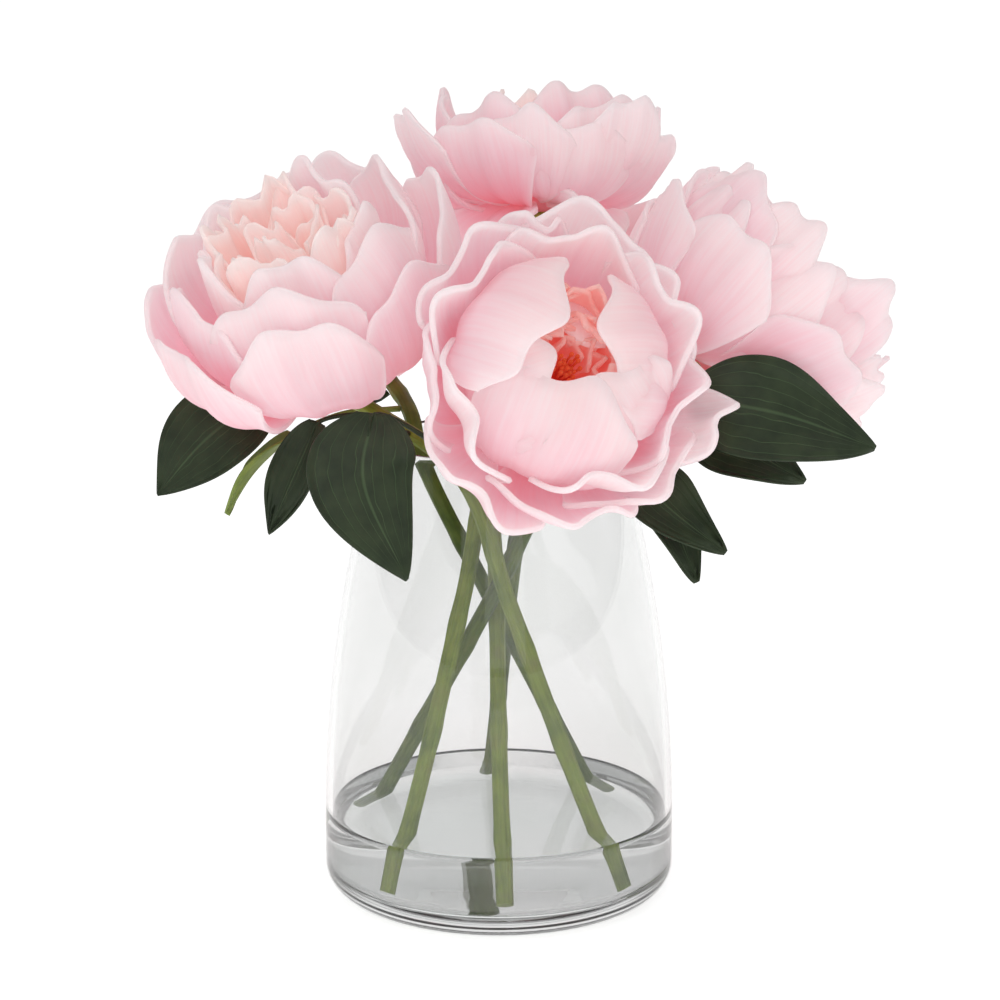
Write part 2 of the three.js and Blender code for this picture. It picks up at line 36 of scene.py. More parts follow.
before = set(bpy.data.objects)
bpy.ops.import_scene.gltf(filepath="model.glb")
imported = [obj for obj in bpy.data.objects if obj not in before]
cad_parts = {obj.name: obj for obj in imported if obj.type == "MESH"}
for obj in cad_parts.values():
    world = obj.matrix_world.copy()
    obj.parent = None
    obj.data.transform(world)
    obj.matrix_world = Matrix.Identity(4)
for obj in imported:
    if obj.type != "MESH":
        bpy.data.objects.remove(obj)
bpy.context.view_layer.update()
MM = 0.001

# Sizes shared by the solids and the looks, in millimetres
VASE_HEIGHT = 170.0
FOOT_RADIUS = 55.0
FOOT_ROUNDING = 10.0
BODY_RADIUS = 65.0
BELL_START = 20.0
RIM_RADIUS = 44.0
BELL_POWER = 2.1
WALL = 2.6
LIP_CENTRE = 168.7
GLASS_FLOOR = 8.0
FLOOR_ROUNDING = 5
GAP = 0.3
CUP_DEPTH = 7.0
CORE_RADIUS = 8.0
CORE_HEIGHT = 14.0
HEART_CORE = 6.0
BOWL_CENTRE = 26.0

# Keepers, in millimetres: how far points stay from the neck, from the next bloom and from a bowl
NECK_DROP = 30
NECK_KEEPER = 56
BOWL_MIDDLE = 33
BOWL_KEEPER = (57, 33)

# Thin blades: the width of the bead along a rim, in millimetres, its height and the bulge of the edge,
# as shares of the thickness
BEAD_WIDTH = 2.2
BEAD_HEIGHT = 0.9
EDGE_BULGE = 0.8

# Grids of the blades, (along, across), and the width of their pale rims in millimetres
VASE_SIDES = 160
ACROSS_PER_STEP = 2.6
HEART_STEPS = (18, 24)
FILL_STEPS = (16, 22)
SEPAL_STEPS = (14, 12)
LEAF_STEPS = (44, 26)
PETAL_RIM = 3.2
HEART_RIM = 2.6
FILL_RIM = 2.2
SEPAL_RIM = 1.2
LEAF_RIM = 0.8
FILL_THICKNESS = 0.8
SEPAL_THICKNESS = 1.0

# Points along a stem, and the tuft of stamens, in millimetres and radians
STEM_POINTS = 90
STAMEN_COUNT = 20
STAMEN_TURN = 2.4
STAMEN_LENGTH = 13
STAMEN_RADIUS = 0.5

# Where the photo was taken from, in metres and degrees, and the lens for a 36 mm sensor
CAMERA_PLACE = (0.0004, -0.95, 0.3588)
CAMERA_TILT = 77.41
LENS = 95.83
SENSOR = 36.0

# Square lamps: place and side in metres, and share of the light power
LAMPS = {
    "key_light": ((-0.5, -0.5, 1.3), 0.9, 0.78),
    "fill_light": ((0.9, -0.6, 0.6), 0.9, 0.2),
    "front_light": ((0.1, -1.3, 0.45), 0.7, 0.44),
}
AIM_HEIGHT = 0.18
FLOOR_REACH = 12.0
FLOOR_LEVEL = -0.0003

# Kinds of node that are used often
MATH = "ShaderNodeMath"
MIX = "ShaderNodeMix"
RAMP = "ShaderNodeValToRGB"
NOISE = "ShaderNodeTexNoise"
BUMP = "ShaderNodeBump"
PRINCIPLED = "ShaderNodeBsdfPrincipled"
STORE = "GeometryNodeStoreNamedAttribute"

# Petal rings, from the outside in. A path is four control points, each a distance from the bloom's axis
# and a height
OUTER = dict(path=(4, 4.5, 34, -2, 50, 14, 53, 40), width=58, arc=36, round=0.36, curl=-2, shingle=3,
             ruffle=1.8)
MIDDLE = dict(path=(4, 8, 34, 3, 46, 26, 42, 50), width=54, arc=34, round=0.3, curl=2, shingle=3, ruffle=2)
BALL = dict(path=(3, 12, 42, 8, 46, 58, 12, 58), width=56, arc=34, round=0.2, curl=0.5, shingle=1,
            ruffle=0.8)
HEART = dict(path=(2, 18, 21, 17, 28, 38, 15, 51), width=28, arc=13, round=0.3, curl=1, shingle=1.5,
             ruffle=2, tooth=0.05)
SEPAL = dict(path=(4, -1.9, 9, -2.3, 14, -2.7, 19, -2.4), width=17, arc=30, round=0.5, curl=0.4,
             shingle=0, ruffle=0.4)
# Crumpled petals that fill the bowls between the larger ones
FILL = dict(path=(2, 20, 12, 20, 20, 34, 12, 48), width=20, arc=10, round=0.3, curl=1.2, shingle=1.2,
            ruffle=2.6, tooth=0.09)

FILL_RINGS = {
    "front": [
        dict(FILL, path=(2, 20, 24, 16, 34, 36, 26, 54), width=26, arc=14, ruffle=3,
             angles=(-30, 20, -6), lifts=(0, 0, -5)),
        dict(FILL, path=(2, 20, 17, 19, 23, 36, 17, 52), width=20, arc=9, ruffle=3, count=7, turn=35),
        dict(FILL, path=(2, 20, 10, 21, 15, 34, 11, 45), width=15, arc=7, ruffle=3, count=7, turn=10)],
    "left": [
        dict(FILL, path=(2, 20, 24, 16, 33, 38, 24, 62), width=38, arc=18, curl=4, ruffle=3.2,
             tooth=0.02, count=5, turn=50),
        dict(FILL, path=(2, 20, 15, 20, 24, 38, 19, 63), width=30, arc=13, curl=5, ruffle=3,
             tooth=0.03, count=4, turn=20),
        dict(FILL, path=(1, 20, 7, 22, 13, 38, 10, 61), width=23, arc=9, curl=4, ruffle=3,
             tooth=0.04, count=3, turn=80)],
    "right": [
        dict(FILL, path=(2, 20, 11, 20, 16, 28, 9, 38), count=5, turn=45),
        dict(FILL, path=(2, 20, 7, 22, 10, 28, 6, 36), width=15, arc=8, count=5, turn=20)],
    "back": [dict(FILL, path=(2, 20, 10, 20, 14, 27, 9, 33), width=18, arc=9, count=5, turn=45)],
    "rear_left": [dict(FILL, count=5, turn=45)],
    "rear_right": [dict(FILL, count=5, turn=25)],
}

BLOOMS = {
    "front": dict(
        seed=1, base=(14.5, -37, 192), facing=(0.22, -0.89, 0.41), sepals=4,
        rings=[
            dict(OUTER, ruffle=3.2, angles=(33, -16, -60, -146, 176, 138, 86, 6, -112),
                 sizes=(1.12, 1, 1, 1, 1, 1, 0.98, 1.08, 1.04), widths=(1.05, 1, 1, 1, 1, 1, 1, 0.55, 0.6)),
            dict(MIDDLE, ruffle=4, angles=(48, -8, -62, -118, -165, 112)),
            dict(BALL, angles=(54, 104, 158, -86), widths=(1.15, 1, 1.2, 1.2), lifts=(3, 0, 4.2, 1.2)),
            dict(BALL, angles=(-145, -24), sizes=(0.97, 0.7), lifts=(-1.2, -1))],
        heart=dict(HEART, path=(2, 18, 21, 17, 28, 38, 13, 50), count=5, turn=20)),
    "left": dict(
        seed=2, base=(-60, 4, 197), facing=(-0.3, -0.42, 0.86), sepals=4,
        rings=[
            dict(OUTER, path=(4, 4.5, 42, -5, 59, 16, 54, 46), width=62, arc=40,
                 angles=(12, 64, 115, 163, 216, 268, 320), sizes=(1.12, 1.05, 1.02, 1.06, 1.08, 1.04, 1.1)),
            dict(MIDDLE, path=(4, 8, 38, 4, 54, 30, 42, 60), width=60, arc=38, curl=-1, count=6, turn=35),
            dict(MIDDLE, path=(3, 11, 28, 9, 38, 34, 29, 62), width=44, arc=26, curl=1, ruffle=2.4,
                 count=5, turn=5)],
        heart=dict(HEART, path=(2, 18, 15, 18, 24, 36, 20, 58), width=30, ruffle=2.6, count=5, turn=20)),
    "right": dict(
        seed=3, base=(66, -1, 198), facing=(0.76, 0.3, 0.58), sepals=3,
        rings=[
            dict(OUTER, path=(4, 4.5, 34, -2, 48, 12, 53, 34), width=54, arc=34, curl=0.5, ruffle=1,
                 count=7, turn=0),
            dict(MIDDLE, path=(4, 8, 34, 3, 53, 24, 50, 54), width=52, arc=34, curl=1, ruffle=1.5,
                 count=6, turn=28),
            dict(MIDDLE, path=(3, 11, 32, 8, 48, 34, 38, 61), width=52, arc=32, curl=1, count=4, turn=10),
            dict(OUTER, path=(4, 6, 34, 0, 52, 18, 53, 45), width=40, arc=28, curl=1, ruffle=1.2,
                 count=7, turn=24),
            dict(MIDDLE, path=(3, 10, 34, 5, 53, 30, 47, 60), width=38, arc=27, curl=1.5, ruffle=1.4,
                 count=7, turn=4)],
        heart=dict(HEART, count=4, turn=30)),
    "back": dict(
        seed=4, base=(15, 50, 246), facing=(-0.05, 0.25, 0.97), sepals=3,
        rings=[
            dict(OUTER, path=(4, 4.5, 34, -3, 48, 8, 50, 28), width=54, arc=30, curl=0.5, ruffle=1,
                 count=7, turn=8),
            dict(MIDDLE, path=(4, 8, 34, 3, 50, 16, 44, 38), width=50, arc=30, curl=1, count=5, turn=30),
            dict(MIDDLE, path=(3, 11, 28, 9, 42, 24, 30, 43), width=50, arc=28, curl=1, count=3, turn=15),
            dict(OUTER, path=(4, 6, 34, 0, 51, 12, 49, 34), width=38, arc=26, curl=1, ruffle=1.2,
                 count=7, turn=30),
            dict(OUTER, path=(4, 5, 18, 1, 32, -6, 38, -24), width=42, arc=30, ruffle=1.5,
                 angles=(-50, 40), sizes=(1, 0.7))],
        heart=dict(HEART, path=(2, 18, 18, 17, 24, 30, 13, 41), count=4, turn=0)),
    "rear_left": dict(
        seed=5, base=(-50, 62, 190), facing=(-0.55, 0.6, 0.55), sepals=3,
        rings=[
            dict(OUTER, width=60, arc=32, count=5, turn=20),
            dict(MIDDLE, width=56, arc=30, count=4, turn=50)],
        heart=dict(HEART, width=32, count=3, turn=15)),
    "rear_right": dict(
        seed=6, base=(46, 70, 188), facing=(0.45, 0.7, 0.55), sepals=3,
        rings=[
            dict(OUTER, width=60, arc=32, count=5, turn=5),
            dict(MIDDLE, width=56, arc=30, count=4, turn=32)],
        heart=dict(HEART, width=32, count=3, turn=40)),
}

NEIGHBOURS = [
    ("front", "left"), ("front", "back"), ("front", "right"), ("left", "back"), ("right", "back"),
    ("left", "rear_left"), ("back", "rear_left"), ("back", "rear_right"), ("right", "rear_right"),
    ("rear_left", "rear_right"),
]

STEMS = {
    "left": [(43, -37, 11.3), (23, -31, 62), (4, -24, 113), (-14, -17, 160)],
    "rear_left": [(43, 34, 11.3), (18, 24, 62), (-7, 17, 113), (-29, 14, 160), (-32, 20, 173)],
    "rear_right": [(-38, -41, 11.3), (-25, -27, 62), (-13, -11, 113), (-1, 5, 160)],
    "right": [(-54, 17, 11.3), (-28, 3, 62), (-2, -9, 113), (21, -19, 160)],
    "back": [(2, -53, 11.3), (0, -24, 62), (-1, 5, 113), (-3, 32, 160), (4, 42, 195)],
    "front": [(-5, 55, 11.3), (0, 39, 62), (5, 23, 113), (10, 7, 160)],
}


def leaf(stem, z, out, width, face, fold, midrib, pale=False):
    """One leaf: where it grows, how it looks and the points along its midrib."""
    return dict(stem=stem, z=z, out=out, width=width, face=face, fold=fold, midrib=midrib, pale=pale)


LEAVES = {
    "leaf_left_far": leaf("left", 186, (-0.4, 0.9, -0.1), 32, (0.1, -0.8, 0.6), 0.2,
                          [(-64, 20, 184), (-84, 14, 184), (-107, 6, 168), (-125, 3, 148)]),
    "leaf_left_narrow": leaf("left", 172, (-0.5, -0.8, 0.3), 17, (-0.3, -0.9, 0.3), 0.35,
                             [(-46, -20, 182), (-64, -24, 180), (-73, -25, 160), (-82, -25, 140)]),
    "leaf_left_large": leaf("left", 166, (-0.2, -0.95, 0.3), 37, (-0.2, -0.85, 0.5), 0.15,
                            [(-27, -36, 178), (-43, -50, 188), (-46, -64, 168), (-31, -80, 137)]),
    "leaf_left_back": leaf("rear_left", 176, (-0.9, 0.2, 0.1), 22, (-0.1, 0.2, 1), 0.3,
                           [(-58, 26, 174), (-76, 16, 168), (-90, 8, 155), (-100, 6, 140)], True),
    "leaf_right_large": leaf("right", 184, (0.2, -0.95, 0.2), 41, (0, -0.75, 0.65), 0.15,
                             [(52, -30, 184), (64, -42, 192), (96, -50, 188), (131, -40, 174)]),
    "leaf_right_back": leaf("right", 179, (0.4, -0.8, -0.2), 26, (0.1, -0.8, 0.6), 0.2,
                            [(52, -24, 176), (66, -26, 178), (86, -31, 172), (108, -30, 160)]),
    "leaf_centre_front": leaf("front", 170, (0.7, -0.6, 0.4), 24, (0.3, -0.8, 0.5), 0.2,
                              [(32, -26, 175), (42, -40, 171), (58, -53, 156), (78, -58, 141)]),
    "leaf_centre_low": leaf("right", 173, (0.3, -0.9, 0.2), 22, (0.5, -0.7, 0.5), 0.2,
                            [(45, -25, 173), (53, -33, 163), (61, -41, 147), (69, -48, 128)]),
    "leaf_rear_left": leaf("rear_left", 180, (-0.8, -0.3, -0.6), 34, (-0.3, 0.6, 0.7), 0.2,
                           [(-60, 40, 174), (-78, 50, 176), (-98, 58, 178), (-112, 66, 170)]),
    "leaf_rear_mid": leaf("back", 196, (0.2, 0.9, 0), 30, (0, 0.7, 0.7), 0.2,
                          [(7, 59, 200), (2, 79, 204), (-2, 98, 200), (-2, 118, 188)]),
    "leaf_rear_right": leaf("rear_right", 176, (0.5, -0.4, -0.4), 34, (0.4, 0.6, 0.7), 0.2,
                            [(52, 42, 174), (72, 52, 174), (92, 62, 174), (112, 70, 164)]),
}


# Small maths

def unit(v):
    """The vector or vectors at length one."""
    v = np.asarray(v, float)
    return v / np.linalg.norm(v, axis=-1, keepdims=True)


def jitter(seed):
    """A repeatable number between -1 and 1."""
    s = math.sin(seed * 12.9898) * 43758.5453
    return 2 * (s - math.floor(s)) - 1


def ease(distance, gap, reach):
    """Slows a distance down as it nears a boundary, so that it never goes below the gap."""
    slowed = gap + (reach - gap) * np.exp(np.minimum((distance - reach) / (reach - gap), 0))
    return np.where(distance >= reach, distance, slowed)


def bloom_frame(bloom):
    """Origin, facing axis and two directions across it."""
    axis = unit(bloom["facing"])
    first = unit(np.array([0, 0, 1.0]) - axis * axis[2])
    return np.array(bloom["base"], float), axis, first, np.cross(axis, first)


FRAMES = {name: bloom_frame(bloom) for name, bloom in BLOOMS.items()}


def bowl_centre(name):
    """The middle of a bloom's bowl."""
    origin, axis, _, _ = FRAMES[name]
    return origin + axis * BOWL_CENTRE


def planes_of(name):
    """The planes between a bloom and the ones that press against it."""
    planes = []
    for pair in NEIGHBOURS:
        if name in pair:
            other = pair[1] if pair[0] == name else pair[0]
            normal = unit(bowl_centre(name) - bowl_centre(other))
            planes.append((normal, (bowl_centre(name) + bowl_centre(other)) / 2))
    return planes


def keep_off_neck(points):
    """Holds points off the rim and neck of the vase."""
    centre = np.array([0, 0, VASE_HEIGHT - NECK_DROP])
    away = points - centre
    length = np.linalg.norm(away, axis=-1, keepdims=True)
    return centre + away * (NECK_KEEPER + ease(length - NECK_KEEPER, 1, 6)) / length


def keep_petal(points, planes):
    """Holds petal points on their own side of each neighbour."""
    for normal, middle in planes:
        distance = (points - middle) @ normal
        points = points + (ease(distance, 1.2, 9) - distance)[..., None] * normal
    return keep_off_neck(points)


def keep_leaf(points):
    """Holds leaf points clear of the bowl of each bloom."""
    radius, half_height = BOWL_KEEPER
    for origin, axis, _, _ in FRAMES.values():
        centre = origin + axis * BOWL_MIDDLE
        offset = points - centre
        along = offset @ axis
        across = np.linalg.norm(offset - along[..., None] * axis, axis=-1)
        length = np.linalg.norm(offset, axis=-1)
        size = length / np.hypot(across / radius, along / half_height)
        kept = size + ease(length - size, 1.5, 7)
        points = centre + offset * (kept / length)[..., None]
    return points


def spline_points(control, t):
    """Points of a centripetal curve through the control points, at t from 0 to 1."""
    p = np.asarray(control, float)
    q = np.array([2 * p[0] - p[1]] + list(p) + [2 * p[-1] - p[-2]])
    at = np.clip(np.asarray(t, float) * (len(p) - 1), 0, len(p) - 1)
    k = np.minimum(at.astype(int), len(p) - 2)
    w = (at - k)[..., None]
    p0, p1, p2, p3 = q[k], q[k + 1], q[k + 2], q[k + 3]
    d = [np.linalg.norm(b - a, axis=-1, keepdims=True) ** 0.5 for a, b in ((p0, p1), (p1, p2), (p2, p3))]
    t1 = ((p1 - p0) / d[0] - (p2 - p0) / (d[0] + d[1]) + (p2 - p1) / d[1]) * d[1]
    t2 = ((p2 - p1) / d[1] - (p3 - p1) / (d[1] + d[2]) + (p3 - p2) / d[2]) * d[1]
    c2 = -3 * p1 + 3 * p2 - 2 * t1 - t2
    c3 = 2 * p1 - 2 * p2 + t1 + t2
    return p1 + t1 * w + c2 * w ** 2 + c3 * w ** 3


def spline_tangents(control, t):
    """Directions along the same curve."""
    t = np.asarray(t, float)
    ahead = spline_points(control, np.minimum(t + 1e-4, 1))
    return unit(ahead - spline_points(control, np.maximum(t - 1e-4, 0)))


def spline_even(control, count):
    """Evenly spaced points of the curve."""
    fine = spline_points(control, np.linspace(0, 1, 600))
    run = np.concatenate([[0], np.cumsum(np.linalg.norm(np.diff(fine, axis=0), axis=1))])
    want = np.linspace(0, run[-1], count)
    return np.stack([np.interp(want, run, fine[:, k]) for k in range(3)], axis=1)


# Surfaces of petals and leaves, in millimetres

def petal_points(name, ring, place, seed, u, v, planes, detail=1.0):
    """The middle surface of one petal. u runs from root to rim, v from side to side."""
    origin, axis, first, second = FRAMES[name]
    angle, lift, size, breadth = place
    root, belly, shoulder, tip = np.array(ring["path"], float).reshape(4, 2)
    belly, shoulder, tip = [root + (p - root) * size for p in (belly, shoulder, tip)]
    shoulder = shoulder + np.array([3 * jitter(seed + 0.1), 2 * jitter(seed + 0.2)])
    tip = tip + np.array([5 * jitter(seed + 0.1), 4 * jitter(seed + 0.2)])
    half_width = 0.5 * ring["width"] * breadth * (1 + 0.08 * jitter(seed + 0.3))
    phase = math.pi * jitter(seed + 0.4)
    # The rim is rounded, faintly lobed and, where the ring has teeth, notched
    rounding = ring["round"] * (1 - np.sqrt(1 - 0.97 * v * v))
    notch = detail * ring.get("tooth", 0) * np.abs(np.sin(6.5 * v + 2 * phase))
    reach = u * (1 - rounding + 0.025 * np.sin(7 * v + phase) - notch)
    t = reach[..., None]
    r, h = np.moveaxis((1 - t) ** 3 * root + 3 * (1 - t) ** 2 * t * belly
                       + 3 * (1 - t) * t * t * shoulder + t ** 3 * tip, -1, 0)
    run = (3 * (1 - t) ** 2 * (belly - root) + 6 * (1 - t) * t * (shoulder - belly)
           + 3 * t * t * (tip - shoulder))
    rise_r, rise_h = np.moveaxis(unit(run), -1, 0)
    # Across, the petal is rolled on an arc and cupped
    width = 1 + half_width * np.sin(1.75 * reach ** 0.85 + 0.08) ** 1.7
    bend = v * width / ring["arc"]
    cup = ring["arc"] * (1 - np.cos(bend)) * np.minimum(1, 1.5 * reach) * (1 - 0.3 * reach ** 3)
    curl = ring["curl"] * np.maximum(0, (reach - 0.6) / 0.4) ** 2
    wave = ring["ruffle"] * reach ** 3 * np.sin(5 * v + phase)
    # Broad and narrow creases that fan out from the root, and a faintly crimped rim
    crease = (2.0 * np.cos(9 * v + 2 * phase) - 1.8 * np.exp(-(v / 0.12) ** 2)) * reach * (1.12 - reach)
    crease += 0.5 * np.sin(15 * v + 3 * phase + 2 * np.sin(4 * v)) * reach ** 2 * (1.35 - reach)
    crimp = (0.28 * ring["ruffle"] * np.sin(9 * v - 2 * phase) + 0.2 * np.sin(13 * v + phase)) * reach ** 5
    out = lift + ring["shingle"] * v * (0.6 + 0.4 * reach) - cup + curl + wave + detail * (crease + crimp)
    side = ring["arc"] * np.sin(bend)
    across = r + out * rise_h
    along = h - out * rise_r
    turn = math.radians(angle)
    points = (origin + (across * math.cos(turn) - side * math.sin(turn))[..., None] * first
              + (across * math.sin(turn) + side * math.cos(turn))[..., None] * second
              + along[..., None] * axis)
    return keep_petal(points, planes)


def ring_places(ring, seed):
    """The angle of each petal of a ring, how far out it lies, its size and its breadth."""
    if "angles" in ring:
        angles = ring["angles"]
    else:
        angles = [ring["turn"] + 360 * k / ring["count"] + 5 * jitter(seed + k) for k in range(ring["count"])]
    plain = {"lifts": 0, "sizes": 1, "widths": 1}
    return list(zip(angles, *(ring.get(key, [value] * len(angles)) for key, value in plain.items())))


def stem_controls(name):
    """The curve that a stem follows from the floor of the vase to its bloom."""
    origin, axis, _, _ = FRAMES[name]
    ends = [origin - axis * (CUP_DEPTH + 8), origin - axis * (CUP_DEPTH + GAP)]
    return np.array([np.array(p, float) for p in STEMS[name]] + ends)


def leaf_controls(plan, stem_radius):
    """The points of a leaf from the side of its stem to its tip."""
    control = stem_controls(plan["stem"])
    t = np.linspace(0, 1, 401)
    line = spline_points(control, t)
    above = np.nonzero(line[:, 2] > plan["z"])[0]
    k = max(0, above[0] - 1)
    tangent = spline_tangents(control, t[k:k + 1])[0]
    out = np.array(plan["out"], float)
    out = unit(out - tangent * (out @ tangent))
    start = line[k] + out * (stem_radius + GAP)
    near = line[k] + out * (stem_radius + 5)
    return [start, near] + [np.array(p, float) for p in plan["midrib"]]


def leaf_points(plan, controls, u, v):
    """The middle surface of a leaf. u runs from stalk to tip, v from side to side."""
    rib = controls[3:]
    centre = spline_points(rib, u)
    tangent = spline_tangents(rib, u)
    side = unit(np.cross(tangent, unit(plan["face"])))
    normal = unit(np.cross(side, tangent))
    half = 0.5 * plan["width"] * np.sin(math.pi * (0.04 + 0.96 * u) ** 0.8) ** 0.9 + 0.5
    wave = 0.9 * np.sin(9 * u + 2 * v) * np.abs(v)
    # The blade puckers slightly between its long veins
    pucker = 0.3 * np.cos(10 * math.pi * np.abs(v) ** 0.8) * np.sin(math.pi * u)
    lift = plan["fold"] * np.abs(v) * half + wave + pucker
    points = centre + (v * half)[..., None] * side + lift[..., None] * normal
    return keep_off_neck(keep_leaf(points))


# Meshes

def add_object(name, data):
    """Puts a new object for some data into the scene."""
    made = bpy.data.objects.new(name, data)
    bpy.context.scene.collection.objects.link(made)
    return made


class Shape:
    """Gathers vertices, faces and the values painted on them for one piece."""

    def __init__(self):
        self.points, self.faces, self.uv, self.rim, self.tone = [], [], [], [], []
        self.count = 0

    def add(self, points, faces, uv, rim, tone):
        """Adds one closed form."""
        self.points.append(points)
        self.faces.extend([tuple(int(i) + self.count for i in f) for f in faces])
        self.uv.append(uv)
        self.rim.append(rim)
        self.tone.append(np.full(len(points), tone))
        self.count += len(points)

    def build(self, name, material):
        """Makes the object, in metres, with a UV map and the rim and tone attributes."""
        mesh = bpy.data.meshes.new(name)
        points = np.concatenate(self.points) * MM
        mesh.from_pydata(points.tolist(), [], self.faces)
        layer = mesh.uv_layers.new(name="along")
        loops = np.empty(len(mesh.loops), int)
        mesh.loops.foreach_get("vertex_index", loops)
        layer.data.foreach_set("uv", np.concatenate(self.uv)[loops].ravel())
        for label, values in (("rim", self.rim), ("tone", self.tone)):
            attribute = mesh.attributes.new(label, "FLOAT", "POINT")
            attribute.data.foreach_set("value", np.concatenate(values))
        mesh.polygons.foreach_set("use_smooth", [True] * len(mesh.polygons))
        mesh.materials.append(material)
        mesh.validate()
        mesh.update()
        return add_object(name, mesh)


def sheet(shape, surface, steps, thickness, tone, rim_width, bead=0.0):
    """Adds a thin blade with a rounded edge. surface(u, v) gives its middle."""
    nu, nv = steps
    across = np.sin(np.linspace(-1, 1, nv + 1) * math.pi / 2)
    u, v = np.meshgrid(np.linspace(0, 1, nu + 1), across, indexing="ij")
    middle = surface(u, v)
    e = 0.004
    du = surface(np.minimum(u + e, 1), v) - surface(np.maximum(u - e, 0), v)
    dv = surface(u, np.minimum(v + e, 1)) - surface(u, np.maximum(v - e, -1))
    normal = unit(np.cross(du, dv))
    span_v = np.linalg.norm(np.diff(middle, axis=1), axis=2).sum(1)[:, None] / 2
    span_u = np.linalg.norm(np.diff(middle, axis=0), axis=2).sum(0)[None, :]
    edge = np.minimum((1 - np.abs(v)) * span_v, (1 - u) * span_u)
    rim = np.exp(-edge / rim_width)
    ring = [(i, 0) for i in range(nu)] + [(nu, j) for j in range(nv)]
    ring += [(i, nv) for i in range(nu, 0, -1)] + [(0, j) for j in range(nv, 0, -1)]
    outward = np.zeros_like(middle)
    outward[:, 0] -= unit(dv[:, 0])
    outward[:, -1] += unit(dv[:, -1])
    outward[0] -= unit(du[0])
    outward[-1] += unit(du[-1])
    half = thickness / 2 * (1 + bead * np.exp(-edge / BEAD_WIDTH))[..., None]
    border = np.array([middle[i, j] + unit(outward[i, j]) * half[i, j] * EDGE_BULGE for i, j in ring])
    sides = [(middle + normal * half).reshape(-1, 3), (middle - normal * half).reshape(-1, 3)]
    size = (nu + 1) * (nv + 1)

    def at(i, j):
        return i * (nv + 1) + j

    faces = []
    for i in range(nu):
        for j in range(nv):
            a, b, c, d = at(i, j), at(i + 1, j), at(i + 1, j + 1), at(i, j + 1)
            faces.append((a, b, c, d))
            faces.append((size + a, size + d, size + c, size + b))
    total = len(ring)
    for k in range(total):
        a, b = at(*ring[k]), at(*ring[(k + 1) % total])
        m, n = 2 * size + k, 2 * size + (k + 1) % total
        faces.append((b, a, m, n))
        faces.append((n, m, size + a, size + b))
    uv = np.stack([u, (v + 1) / 2], axis=2).reshape(-1, 2)
    uv_ring = np.array([(u[i, j], (v[i, j] + 1) / 2) for i, j in ring])
    shape.add(np.concatenate([*sides, border]), faces, np.concatenate([uv, uv, uv_ring]),
              np.concatenate([rim.ravel(), rim.ravel(), np.ones(total)]), tone)


def ring_faces(rings, sides):
    """Faces of a round form: rings of points, closed by the two end points that follow them."""
    low, high, last = rings * sides, rings * sides + 1, (rings - 1) * sides
    faces = []
    for i in range(0, last, sides):
        for k in range(sides):
            n = (k + 1) % sides
            faces.append((i + k, i + n, i + sides + n, i + sides + k))
    for k in range(sides):
        n = (k + 1) % sides
        faces.append((low, n, k))
        faces.append((high, last + k, last + n))
    return faces


def revolved(shape, outline, sides, frame_of=None, tone=0.5, u=0.0):
    """Adds a closed turned form from an outline that starts and ends on the axis."""
    origin, axis, first, second = frame_of or (np.zeros(3), *np.eye(3)[[2, 0, 1]])
    outline = np.asarray(outline, float)
    rings = outline[1:-1]
    angle = np.linspace(0, 2 * math.pi, sides, endpoint=False)
    across = rings[:, None, 0] * np.cos(angle), rings[:, None, 0] * np.sin(angle)
    points = (origin + across[0][..., None] * first + across[1][..., None] * second
              + rings[:, None, 1, None] * axis).reshape(-1, 3)
    points = np.concatenate([points, [origin + axis * outline[0, 1], origin + axis * outline[-1, 1]]])
    run = np.linspace(0, 1, len(rings)) * 0.001 + u
    uv = np.stack([np.repeat(run, sides), np.tile(np.linspace(0, 1, sides), len(rings))], axis=1)
    uv = np.concatenate([uv, [[u, 0.5], [u, 0.5]]])
    shape.add(points, ring_faces(len(rings), sides), uv, np.zeros(len(points)), tone)


def smooth_outline(corners, count):
    """A rounder outline through the given corners."""
    flat = np.array([(r, z, 0) for r, z in corners], float)
    curve = spline_even(flat, count)[:, :2]
    curve[0], curve[-1] = corners[0], corners[-1]
    return curve


def core_outline(radius, half_height, height):
    """Half of an egg shape, from its foot to its top."""
    return [(radius * math.sin(a), height - half_height * math.cos(a)) for a in np.linspace(0, math.pi, 14)]


def tube(shape, control, radius, sides, steps, tone, taper):
    """Adds a closed round stalk along a curve."""
    line = spline_even(control, steps + 1)
    tangent = unit(np.gradient(line, axis=0))
    across = np.cross(tangent[0], [0.3, 0.9, 0.1])
    points, runs = [], []
    angle = np.linspace(0, 2 * math.pi, sides, endpoint=False)
    for k, p in enumerate(line):
        across = unit(across - tangent[k] * (across @ tangent[k]))
        other = np.cross(tangent[k], across)
        size = radius * (1 - taper * k / steps)
        points.append(p + size * (np.cos(angle)[:, None] * across + np.sin(angle)[:, None] * other))
        runs.append(np.stack([np.full(sides, k / steps), np.linspace(0, 1, sides)], axis=1))
    points = np.concatenate(points + [line[:1], line[-1:]])
    uv = np.concatenate(runs + [np.array([[0, 0.5], [1, 0.5]])])
    shape.add(points, ring_faces(steps + 1, sides), uv, np.zeros(len(points)), tone)


def grow_ring(shape, name, ring, seed, steps, thickness, planes, rim_width):
    """Adds the petals of one ring to a bloom."""
    for k, place in enumerate(ring_places(ring, seed)):
        own = seed + 3.7 * k
        sheet(shape, lambda u, v: petal_points(name, ring, place, own, u, v, planes), steps, thickness,
              jitter(own + 0.7), rim_width, BEAD_HEIGHT)


def dress(made, node):
    """Makes a piece ride on the one body and stand for its CAD node."""
    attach(made, "root")
    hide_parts(node)


# Materials

